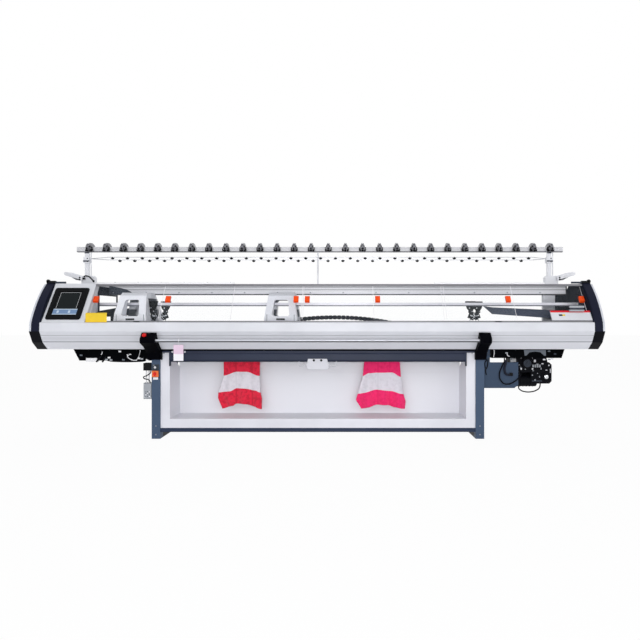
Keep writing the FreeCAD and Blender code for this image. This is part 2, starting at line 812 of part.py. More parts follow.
chain_start = 147.0
chain_rise_x = 524.0
chain_end = 1066.0
chain_heights = (1112.0, 1133.0, 1078.0)
chain_y = 170.0
chain_width = 50.0
chain_link = 37.0
chain_links = 22


def cable_chain(x, cover):
    """Cable chain lying in a shallow arc beside the carriage, built link by link."""
    arc = Part.Arc(vec(x + chain_start, 0, chain_heights[0]), vec(x + chain_rise_x, 0, chain_heights[1]),
                   vec(x + chain_end, 0, chain_heights[2]))
    points = arc.discretize(chain_links + 1)
    links = []
    for i, (a, b) in enumerate(zip(points, points[1:])):
        run = (b - a).normalize()
        rise = vec(-run.z, 0, run.x)
        half = chain_link / 2 if i % 2 else chain_link / 2 - 4
        inset = 0.0 if i % 2 else 3.0
        start = a - run if i else a
        corners = [start - rise * half, b + run - rise * half, b + run + rise * half, start + rise * half]
        face = polygon([c + vec(0, chain_y + inset, 0) for c in corners])
        links.append(face.extrude(vec(0, chain_width - 2 * inset, 0)))
    return joined(links).cut(cover)


finger_spacing = 6.0
finger_radius = 2.2
finger_tip_z = 1095.0
saddle_half_width = 48.0
saddle_side = 5.0


def yarn_carrier(x, rail):
    """Yarn carrier: a saddle on its rail, a waisted arm and a feeder finger that ends over the bed gap."""
    y = bed_centre_y + yarn_rail_offsets[rail]
    side = yarn_rail_depth / 2 + seam
    roof = yarn_rail_z + yarn_rail_height + seam
    outer = side + saddle_side
    saddle = box(x - saddle_half_width, x + saddle_half_width, y - outer, y + outer, roof - 30, roof + 15)
    groove = box(x - saddle_half_width, x + saddle_half_width, y - side, y + side, roof - 30, roof)
    saddle = saddle.cut(groove)
    arm = [(x - 40, roof - 28), (x - 10, 1200), (x - 12, 1178), (x - 30, 1128), (x - 6, 1122), (x + 6, 1122),
           (x + 30, 1128), (x + 12, 1178), (x + 10, 1200), (x + 40, roof - 28)]
    blade = along_y(arm, y - outer, y - side)
    tip_y = bed_centre_y + (rail - 1.5) * finger_spacing
    finger = rod_between(vec(x, y - (outer + side) / 2, 1135), vec(x, tip_y, finger_tip_z), finger_radius)
    return joined([saddle, blade, finger])


def make_carriages():
    for name, x in zip(("left", "right"), carriage_centres):
        cover = carriage_cover(x)
        save(name + "_carriage_cover", cover)
        save(name + "_carriage_cams", cam_plates(x))
    save("cable_chain", cable_chain(x, cover))
    for i, (x, rail) in enumerate(carrier_places):
        save("yarn_carrier_%d" % (i + 1), yarn_carrier(x, rail))


# Drive.
motor_plate_left = 1880.0
motor_plate_right = 2290.0
motor_plate_back_y = 236.0
motor_plate_thickness = 10.0
motor_plate_low = 500.0
motor_x = 2045.0
motor_half = 92.0
motor_low = 590.0
motor_front_y = 60.0
motor_chamfer = 24.0
motor_nose_radius = 48.0
gearbox_x = 2195.0
gearbox_z = 690.0
gearbox_radius = 66.0
gearbox_length = 110.0
drum_y = 150.0
drum_z = 506.0
drum_radius = 60.0
drum_left = 1890.0
drum_right = 2150.0
drum_hanger_width = 36.0
terminal_left = 2085.0
terminal_right = 2290.0
terminal_low = 480.0
terminal_reach = 70.0         # in front of the drum's axis
terminal_high = 690.0
cable_radius = 6.0
cable_sides = 8
front_cable_route = ((1754.0, -176.0, 752.0), (1754.0, -176.0, 738.0), (1748.0, -208.0, 724.0),
                     (1722.0, -210.0, 670.0), (1698.0, -210.0, 618.0), (1700.0, -210.0, 556.0),
                     (1740.0, -210.0, 508.0), (1800.0, -210.0, 508.0), (1862.0, -210.0, 546.0),
                     (1898.0, -210.0, 590.0), (1908.0, -140.0, 640.0), (1915.0, -20.0, 660.0),
                     (1922.0, 60.0, 664.0), (1934.0, 118.0, 665.0), (1953.0, 120.0, 665.0))
low_cable_route = ((1985.0, 446.0), (1985.0, 424.0), (2015.0, 398.0), (2075.0, 386.0), (2140.0, 394.0),
                   (2188.0, 420.0), (2200.0, 452.0), (2200.0, 480.0))
relay_left = 1884.0
relay_low = 640.0
relay_width = 52.0
relay_height = 110.0
takedown_pulley_radius = 45.0
takedown_pulley_x = 1600.0
takedown_pulley_width = 22.0


def racetrack(radius, y0, y1):
    """Prism round both belt pulleys at the given radius."""
    ends = [rod_y(side * pulley_x, pulley_z, radius, y0, y1) for side in (-1, 1)]
    middle = box(-pulley_x, pulley_x, y0, y1, pulley_z - radius, pulley_z + radius)
    return joined([ends[0], middle, ends[1]])


def drive_belt():
    y0, y1 = belt_y - belt_width / 2, belt_y + belt_width / 2
    return racetrack(pulley_radius + belt_thickness, y0, y1).cut(racetrack(pulley_radius, y0, y1))


pulley_flat_count = 36


def belt_pulley(side):
    """Pulley with its toothed rim as flats and four windows."""
    y0, y1 = belt_y - belt_width / 2 - 3, belt_y + belt_width / 2
    x = side * pulley_x
    wheel = prism_between(vec(x, y0, pulley_z), vec(x, y1, pulley_z), pulley_radius - seam, pulley_flat_count)
    for angle in range(0, 360, 90):
        dx = 23 * math.cos(math.radians(angle + 45))
        dz = 23 * math.sin(math.radians(angle + 45))
        wheel = wheel.cut(box(x + dx - 6, x + dx + 6, y0, y1, pulley_z + dz - 6, pulley_z + dz + 6))
    return wheel.cut(rod_y(x, pulley_z, shaft_radius + running_clearance, y0, y1))


def cable(points):
    """Held cable along straight runs joined by tangent arcs, with a many-sided section."""
    edges = []
    start = points[0]
    for before, corner, after in zip(points, points[1:], points[2:]):
        way_in = (corner - before).normalize()
        way_out = (after - corner).normalize()
        reach = 0.45 * min((corner - before).Length, (after - corner).Length)
        turn = way_in.getAngle(way_out)
        bend = reach / math.tan(turn / 2)
        inward = (way_out - way_in).normalize()
        near, far = corner - way_in * reach, corner + way_out * reach
        middle = corner + inward * (bend / math.cos(turn / 2) - bend)
        edges.append(Part.LineSegment(start, near).toShape())
        edges.append(Part.Arc(near, middle, far).toShape())
        start = far
    edges.append(Part.LineSegment(start, points[-1]).toShape())
    way = (points[1] - points[0]).normalize()
    across = way.cross(vec(0.6, 0.8, 0)).normalize()
    up = across.cross(way).normalize()
    turns = [2 * math.pi * i / cable_sides for i in range(cable_sides + 1)]
    rim = [points[0] + (across * math.cos(t) + up * math.sin(t)) * cable_radius for t in turns]
    return Part.Wire(edges).makePipeShell([Part.makePolygon(rim)], True, False)


def servo_motor():
    """Drive cluster hung under the rear beam: plate, servo motor, gearbox, relay box, drum motor below."""
    plate_front = motor_plate_back_y - motor_plate_thickness
    high = motor_low + 2 * motor_half
    plate = box(motor_plate_left, motor_plate_right, plate_front, motor_plate_back_y,
                motor_plate_low, casing_bottom)
    body = box(motor_x - motor_half, motor_x + motor_half, motor_front_y + 30, plate_front + 1,
               motor_low, high)
    long_edges = [e for e in body.Edges if abs(e.Vertexes[0].Y - e.Vertexes[1].Y) > 1]
    body = body.makeChamfer(motor_chamfer, long_edges)
    centre_z = motor_low + motor_half
    nose = prism_between(vec(motor_x, motor_front_y, centre_z), vec(motor_x, motor_front_y + 31, centre_z),
                         motor_nose_radius, 20)
    gearbox = prism_between(vec(gearbox_x, plate_front - gearbox_length, gearbox_z),
                            vec(gearbox_x, plate_front + 1, gearbox_z), gearbox_radius, 20)
    relay = box(relay_left, relay_left + relay_width, plate_front - 90, plate_front + 1, relay_low,
                relay_low + relay_height)
    drum = prism_between(vec(drum_left, drum_y, drum_z), vec(drum_right, drum_y, drum_z), drum_radius, 20)
    terminal = box(terminal_left, terminal_right, drum_y - terminal_reach, motor_plate_back_y, terminal_low,
                   terminal_high)
    terminal = terminal.makeChamfer(motor_chamfer, [e for e in terminal.Edges if
                                    abs(e.CenterOfMass.x - terminal_right) < 0.1 and
                                    abs(e.Vertexes[0].Y - e.Vertexes[1].Y) > 1])
    cables = [cable([vec(*p) for p in front_cable_route]),
              cable([vec(x, drum_y, z) for x, z in low_cable_route])]
    hangers = []
    for x in (drum_left + 30, drum_right - 30 - drum_hanger_width):
        hangers.append(box(x, x + drum_hanger_width, drum_y, motor_plate_back_y, drum_z - 12, drum_z + 12))
    return Part.makeCompound([joined([plate, body, nose, gearbox, relay, drum, terminal] + hangers)] + cables)


def takedown_roller(sign):
    """Take-down roller with its shaft; the front one carries the pulley outside the right leg."""
    y = bed_centre_y + sign * roller_centre_gap / 2
    reach = bearing_plate_x + bearing_plate_thickness + 8
    pieces = [prism_between(vec(-roller_half_length, y, roller_z), vec(roller_half_length, y, roller_z),
                            roller_radius, roller_flat_count)]
    if sign < 0:
        far = takedown_pulley_x + takedown_pulley_width
        pieces.append(rod_x(y, roller_z, roller_shaft_radius, -reach, far + 6))
        pieces.append(prism_between(vec(takedown_pulley_x, y, roller_z), vec(far, y, roller_z),
                                    takedown_pulley_radius, pulley_flat_count))
    else:
        pieces.append(rod_x(y, roller_z, roller_shaft_radius, -reach, reach))
    return joined(pieces)


def roller_brackets():
    """Bearing plates that hang from both beams and hold the roller shafts."""
    plates = []
    for x0 in (-bearing_plate_x - bearing_plate_thickness, bearing_plate_x):
        low = roller_z - 50
        outline = [(bed_centre_y - 110, casing_bottom), (bed_centre_y - 66, low), (bed_centre_y + 66, low),
                   (bed_centre_y + 110, casing_bottom)]
        plate = along_x(outline, x0, x0 + bearing_plate_thickness)
        for sign in (-1, 1):
            plate = plate.cut(rod_x(bed_centre_y + sign * roller_centre_gap / 2, roller_z,
                                    roller_shaft_radius + running_clearance, x0 - 1,
                                    x0 + bearing_plate_thickness + 1))
        plates.append(plate)
    return Part.makeCompound(plates)


drive_plate_low = 470.0
drive_plate_step = 712.0
drive_plate_width = 326.0
drive_plate_strap = 60.0
drive_plate_thickness = 6.0
trough_outline = ((1632.0, 1244.0), (1713.0, 1233.0), (2372.0, 1202.0), (2372.0, 1120.0),
                  (2010.0, 1146.0), (1720.0, 1166.0))
trough_depth = 48.0
trough_wall = 4.0
trough_anchor_x = 2230.0     # the upright's left side where the outline was taken


def drive_sheets():
    """Sheet plate hung beside the right leg, and the cable trough in front of the right uprights."""
    left = leg_inner_x + leg_width
    front = bed_centre_y - beam_half_depth
    right = left + drive_plate_width
    outline = [(left, casing_bottom), (left + drive_plate_strap, casing_bottom),
               (left + drive_plate_strap, drive_plate_step), (right, drive_plate_step),
               (right, drive_plate_low + 30), (right - 36, drive_plate_low), (left, drive_plate_low)]
    plate = along_y(outline, front, front + drive_plate_thickness)
    near = beam_front_y - trough_depth
    shift = upright_x - trough_anchor_x
    points = [(x + shift, z) for x, z in trough_outline]
    trough = along_y(points, near, near + trough_depth)
    raised = [(x, z + trough_wall) for x, z in points]
    hollow = along_y(raised, near + trough_wall, near + trough_depth - trough_wall)
    first, last = points[0][0] + trough_wall, points[2][0] - trough_wall
    keep = box(first, last, near, near + trough_depth, trough_outline[3][1],
               trough_outline[0][1] + trough_wall)
    return Part.makeCompound([plate, trough.cut(hollow.common(keep))])


tray_ends = ((203.0, 57.0, 1560.0, 728.0), (186.0, 29.0, 1632.0, 752.0))
tray_sheet = 3.0


def under_trays():
    """Cable trays hung under the front beam beside each leg, open at the top."""
    front = bed_centre_y - beam_half_depth
    back = bed_centre_y - fabric_gap / 2
    t = tray_sheet
    trays = []
    for side, (end_gap, slant, inner, low) in zip((-1, 1), tray_ends):
        outer = wall_inner_x - end_gap

        def at(points):
            return [(side * x, z) for x, z in points]

        shell = along_y(at([(outer, casing_bottom), (outer - slant, low), (inner, low),
                            (inner, casing_bottom)]), front, back)
        hollow = along_y(at([(outer - t, casing_bottom), (outer - slant - t, low + t), (inner + t, low + t),
                             (inner + t, casing_bottom)]), front + t, back - t)
        trays.append(shell.cut(hollow))
    return Part.makeCompound(trays)


def make_drive():
    save("drive_belt", drive_belt())
    save("idler_pulley", belt_pulley(-1))
    save("drive_pulley", belt_pulley(1))
    save("servo_motor", servo_motor())
    save("front_takedown_roller", takedown_roller(-1))
    save("rear_takedown_roller", takedown_roller(1))
    save("roller_brackets", roller_brackets())
    save("drive_sheets", drive_sheets())
    save("under_trays", under_trays())


# Start rod, switches and fabric box.
left_bracket_span = (-leg_inner_x - 108, 22 - leg_inner_x)
right_bracket_span = (leg_inner_x - 10, leg_inner_x + 92)
bracket_top = 996.0
bracket_low = 740.0
bracket_chamfer = 53.0
bracket_neck_z = 868.0
bracket_neck_y = -380.0
bracket_knee_y = -262.0
bracket_knee_z = 832.0
button_x = -leg_inner_x - 74
button_side_count = 24
button_dome = 7.0
button_stem_radius = 9.0
button_cap_radius = 19.0
button_travel = 4.0


def rod_bracket(span):
    """Leaning bracket that comes from the leg, passes under the cover and holds the start rod."""
    chamfer_y = bracket_chamfer - front_reach
    outline = [(-kink_y, bracket_top), (-kink_y + 56, casing_knee - 4), (bracket_knee_y + 4, bracket_knee_z),
               (front_post_y, bracket_knee_z - 4), (front_post_y, bracket_low), (bracket_knee_y, bracket_low),
               (bracket_knee_y - 23, bracket_low + 60), (bracket_neck_y, bracket_neck_z),
               (5 - front_reach, start_rod_z - 20), (-front_reach, start_rod_z),
               (-front_reach, bracket_top - bracket_chamfer), (chamfer_y, bracket_top)]
    bracket = along_x(outline, span[0], span[1])
    inner_end = min(span, key=abs)
    outer_end = math.copysign(start_rod_half + seam, span[0])
    bore = rod_x(start_rod_y, start_rod_z, start_rod_radius + running_clearance,
                 *sorted((outer_end, inner_end)))
    return bracket.cut(bore)


button_way = vec(0, -diagonal, diagonal)
button_seat = vec(button_x, bracket_chamfer / 2 - front_reach, bracket_top - bracket_chamfer / 2)


def button_prism(near, far, radius):
    """Many-sided bar square to the bracket's chamfer, between two distances from it."""
    start = button_seat + button_way * near
    return prism_between(start, button_seat + button_way * far, radius, button_side_count)


def rod_brackets():
    left = rod_bracket(left_bracket_span)
    stem = button_prism(-30, 1, button_stem_radius + 2 * running_clearance)
    return Part.makeCompound([left.cut(stem), rod_bracket(right_bracket_span)])


def emergency_button():
    """Mushroom button on the chamfer: its cap stands off the bracket by the travel."""
    low = button_travel + seam
    return joined([button_prism(-20, low + 1, button_stem_radius),
                   button_prism(low, low + button_dome, button_cap_radius),
                   button_prism(low + button_dome - 1, low + 2 * button_dome, button_cap_radius - 5)])


switch_x0 = -leg_inner_x - 74
switch_x1 = -leg_inner_x - 10
plate_low = 565.0
plate_high = 695.0
lock_z = 668.0
knob_stub_radius = 5.0
junction_width = 80.0
leg_relay_low = 637.0
leg_relay_high = 706.0
knob_side_count = 24
knob_z = 608.0
knob_radius = 15.0
junction_low = 370.0
junction_high = 520.0


def switch_box():
    """Plate with the main switch on the left leg, and the junction box on the leg's outer side."""
    face = front_post_y
    knob_x = (switch_x0 + switch_x1) / 2
    plate = box(switch_x0, switch_x1, face - 5, face, plate_low, plate_high)
    base = box(switch_x0 + 3, switch_x1 - 3, face - 22, face - 4, knob_z - 29, knob_z + 29)
    lock = prism_between(vec(knob_x, face - 24, lock_z), vec(knob_x, face - 4, lock_z), 12.0, knob_side_count)
    stub = rod_y(knob_x, knob_z, knob_stub_radius, face - 34, face - 21)
    left = -leg_inner_x - leg_width
    case = box(left - junction_width, left, face + 5, face + post_depth, junction_low, junction_high)
    case = case.makeChamfer(8.0, [e for e in case.Edges if abs(e.CenterOfMass.y - face - 5) < 0.1])
    relay = box(left - junction_width, left, face + 5, face + post_depth, leg_relay_low, leg_relay_high)
    return Part.makeCompound([joined([plate, base, lock, stub]), case, relay])


def main_switch_knob():
    face = front_post_y - 22
    knob_x = (switch_x0 + switch_x1) / 2
    disc = prism_between(vec(knob_x, face - 12, knob_z), vec(knob_x, face - seam, knob_z),
                         knob_radius, knob_side_count)
    grip = box(knob_x - 5, knob_x + 5, face - 22, face - 11, knob_z - 20, knob_z + 20)
    bore = rod_y(knob_x, knob_z, knob_stub_radius + running_clearance, face - 13, face)
    return joined([disc, grip]).cut(bore)


def fabric_box():
    """Open sheet box for the finished cloth: a wide front flange, two sides, a floor and a low back."""
    t = fabric_thickness
    front = box_flange_y
    back = front + box_depth
    half = box_half_inner
    seat = cross_rail_low + cross_rail_height
    flange = box(-leg_inner_x, leg_inner_x, front - t, front, seat, box_high)
    flange = flange.cut(box(-half, half, front - t, front, box_floor, box_high - 98))
    floor = box(-half - t, half + t, front - 1, back + t, box_floor - t, box_floor)
    rear = box(-half - t, half + t, back, back + t, box_floor - t, box_back_high)
    side = [(front - 1, box_floor - t), (front - 1, box_high - 20), (back + t, box_side_low),
            (back + t, box_floor - t)]
    return joined([flange, floor, rear, along_x(side, -half - t, -half), along_x(side, half, half + t)])


cover_bar_low = 717.0
cover_bar_high = 806.0
cover_bar_depth = 21.0
cover_bar_end = 12.0


def roller_cover_bar():
    """Dark bar across the fabric box's top, with a small plate at each end."""
    back = box_flange_y - fabric_thickness
    half = box_half_inner - cover_bar_end + 1
    front = back - cover_bar_depth
    outline = [(back, cover_bar_low), (front + 5, cover_bar_low + 3), (front, cover_bar_low + 18),
               (front, cover_bar_high - 16), (front + 7, cover_bar_high - 2), (back, cover_bar_high)]
    ends = [box(x, x + cover_bar_end, front - 3, back, cover_bar_low - 37, cover_bar_high + 2)
            for x in (-half - cover_bar_end, half)]
    return joined([along_x(outline, -half, half)] + ends)


panel_folds = 6
panel_rows = ((1078.0, 0.0), (705.0, 0.0), (571.0, 6.0), (405.0, 13.0), (238.0, 20.0))


def knitted_panel(spans, phase):
    """Knitted piece from the bed gap through the rollers, opening into folds below them, in flat facets."""
    half = fabric_thickness / 2
    columns = 2 * panel_folds
    rows = []
    for (z, swing), (left, right) in zip(panel_rows, spans):
        across = []
        for i in range(columns + 1):
            y = bed_centre_y + swing * math.sin(math.pi * i / 2 + phase)
            across.append((left + (right - left) * i / columns, y))
        rows.append([[vec(x, y - half, z) for x, y in across], [vec(x, y + half, z) for x, y in across]])
    faces = []
    for upper, lower in zip(rows, rows[1:]):
        for i in range(columns):
            for side in (0, 1):
                a, b, c, d = upper[side][i], upper[side][i + 1], lower[side][i + 1], lower[side][i]
                faces += [polygon([a, b, c]), polygon([a, c, d])]
        for i in (0, columns):
            faces.append(polygon([upper[0][i], upper[1][i], lower[1][i], lower[0][i]]))
    for row in (rows[0], rows[-1]):
        for i in range(columns):
            faces.append(polygon([row[0][i], row[0][i + 1], row[1][i + 1], row[1][i]]))
    shell = Part.makeShell(faces)
    shell.sewShape()
    panel = Part.makeSolid(shell)
    if panel.Volume < 0:
        panel.reverse()
    return panel


left_panel_spans = ((-920.0, -600.0), (-935.0, -582.0), (-987.0, -572.0), (-975.0, -565.0), (-946.0, -562.0))
right_panel_spans = ((450.0, 770.0), (435.0, 788.0), (370.0, 822.0), (382.0, 830.0), (402.0, 846.0))


def make_fronts_and_box():
    save("start_rod", rod_x(start_rod_y, start_rod_z, start_rod_radius, -start_rod_half, start_rod_half))
    save("rod_brackets", rod_brackets())
    save("emergency_button", emergency_button())
    save("switch_box", switch_box())
    save("main_switch_knob", main_switch_knob())
    save("fabric_box", fabric_box())
    save("roller_cover_bar", roller_cover_bar())
    save("left_knitted_panel", knitted_panel(left_panel_spans, 0.0))
    save("right_knitted_panel", knitted_panel(right_panel_spans, 0.9))


make_base()
make_casing()
make_upper()
make_front()
make_carriages()
make_drive()
make_fronts_and_box()
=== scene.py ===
# Flat knitting machine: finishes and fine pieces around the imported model.
# Metres. X runs to the right, Y away from the operator, Z up.
import bpy
import bmesh
import math
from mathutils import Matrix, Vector


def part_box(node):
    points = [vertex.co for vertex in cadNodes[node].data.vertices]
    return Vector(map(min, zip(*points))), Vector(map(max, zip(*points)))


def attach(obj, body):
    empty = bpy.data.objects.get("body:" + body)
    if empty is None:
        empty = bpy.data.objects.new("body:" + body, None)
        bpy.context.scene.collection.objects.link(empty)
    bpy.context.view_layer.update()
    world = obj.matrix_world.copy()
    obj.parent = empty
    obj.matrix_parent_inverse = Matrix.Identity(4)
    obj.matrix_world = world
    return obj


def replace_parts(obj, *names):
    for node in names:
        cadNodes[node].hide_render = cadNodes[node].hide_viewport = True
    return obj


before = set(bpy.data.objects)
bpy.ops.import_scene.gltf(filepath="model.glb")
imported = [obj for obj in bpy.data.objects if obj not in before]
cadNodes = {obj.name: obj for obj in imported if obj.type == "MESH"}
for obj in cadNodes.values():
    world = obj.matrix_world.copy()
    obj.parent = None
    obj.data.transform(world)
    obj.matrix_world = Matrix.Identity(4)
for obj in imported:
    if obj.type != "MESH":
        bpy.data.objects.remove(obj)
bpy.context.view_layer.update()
scene = bpy.context.scene
print("frame loaded:", len(cadNodes), "nodes")

view = {"place": (0.252, -5.705, 1.145), "lens": 33.0, "shift": (-0.039, -0.006)}
# Each lamp: power, place and size; all of them face the same point.
lamps = {"key": (70.0, (-3.2, -5.6, 3.6), 4.0), "fill": (52.0, (4.2, -4.8, 2.8), 3.5),
         "front": (190.0, (0.4, -7.2, 0.6), 2.4), "back": (70.0, (0.0, 4.5, 4.0), 4.0)}
studio = {"world": 0.56, "aim": (0, 0, 0.9), "floorReach": 30.0, "floorGlow": 0.955}


def addObject(name, data):
    item = bpy.data.objects.new(name, data)
    scene.collection.objects.link(item)
    return item


def makeCamera():
    data = bpy.data.cameras.new("photoCamera")
    data.lens = view["lens"]
    data.shift_x, data.shift_y = view["shift"]
    data.clip_end = 100
    camera = addObject("photoCamera", data)
    camera.location = view["place"]
    camera.rotation_euler = (math.radians(90), 0, 0)
    scene.camera = camera
    scene.view_settings.view_transform = "Standard"


def fillSocket(tree, socket, value):
    if isinstance(value, (int, float, tuple)):
        socket.default_value = value
    else:
        tree.links.new(value, socket)


def addNode(tree, kind, sockets=None, **settings):
    # sockets gives a value or another node's output for each input named
    node = tree.nodes.new("ShaderNode" + kind)
    for key, value in settings.items():
        setattr(node, key, value)
    for key, value in (sockets or {}).items():
        fillSocket(tree, node.inputs[key], value)
    return node.outputs


def mathNode(tree, operation, *values):
    return addNode(tree, "Math", dict(enumerate(values)), operation=operation)[0]


def mixShaders(tree, kind, share, first, second):
    addNode(tree, kind, {0: addNode(tree, "MixShader", {0: share, 1: first, 2: second})[0]})


def seenDirectly(tree):
    # 1 for camera, glossy and transmission rays, else 0
    path = addNode(tree, "LightPath")
    total = path["Is Camera Ray"]
    for label in ("Is Glossy Ray", "Is Transmission Ray"):
        total = mathNode(tree, "MAXIMUM", total, path[label])
    return total


def makeWorld():
    world = bpy.data.worlds.new("studioWorld")
    scene.world = world
    world.use_nodes = True
    tree = world.node_tree
    tree.nodes.clear()
    plain = addNode(tree, "Background", {"Color": (0.95, 0.97, 1.0, 1), "Strength": studio["world"]})[0]
    white = addNode(tree, "Background", {"Color": (1, 1, 1, 1)})[0]
    mixShaders(tree, "OutputWorld", seenDirectly(tree), plain, white)


def makeLamps():
    for name, (power, place, size) in lamps.items():
        data = bpy.data.lights.new(name + "Lamp", "AREA")
        data.energy, data.size = power, size
        lamp = addObject(name + "Lamp", data)
        lamp.location = place
        lamp.rotation_euler = (Vector(studio["aim"]) - Vector(place)).to_track_quat("-Z", "Y").to_euler()


def makeFloor():
    mesh = bpy.data.meshes.new("studioFloor")
    r = studio["floorReach"]
    mesh.from_pydata([(-r, -r, 0), (r, -r, 0), (r, r, 0), (-r, r, 0)], [], [(0, 1, 2, 3)])
    mat = bpy.data.materials.new("floorWhite")
    mat.use_nodes = True
    tree = mat.node_tree
    tree.nodes.clear()
    matt = addNode(tree, "BsdfDiffuse", {"Color": (0.9, 0.9, 0.91, 1)})[0]
    glow = addNode(tree, "Emission")[0]
    share = mathNode(tree, "MULTIPLY", seenDirectly(tree), studio["floorGlow"])     # the rest keeps the shadow
    mixShaders(tree, "OutputMaterial", share, matt, glow)
    mesh.materials.append(mat)
    addObject("studioFloor", mesh)


makeCamera()
makeWorld()
makeLamps()
makeFloor()
print("camera and studio ready")


def look(colour, rough, grain, bump, **more):
    return dict(more, colour=colour, rough=rough, grain=grain, bump=bump)


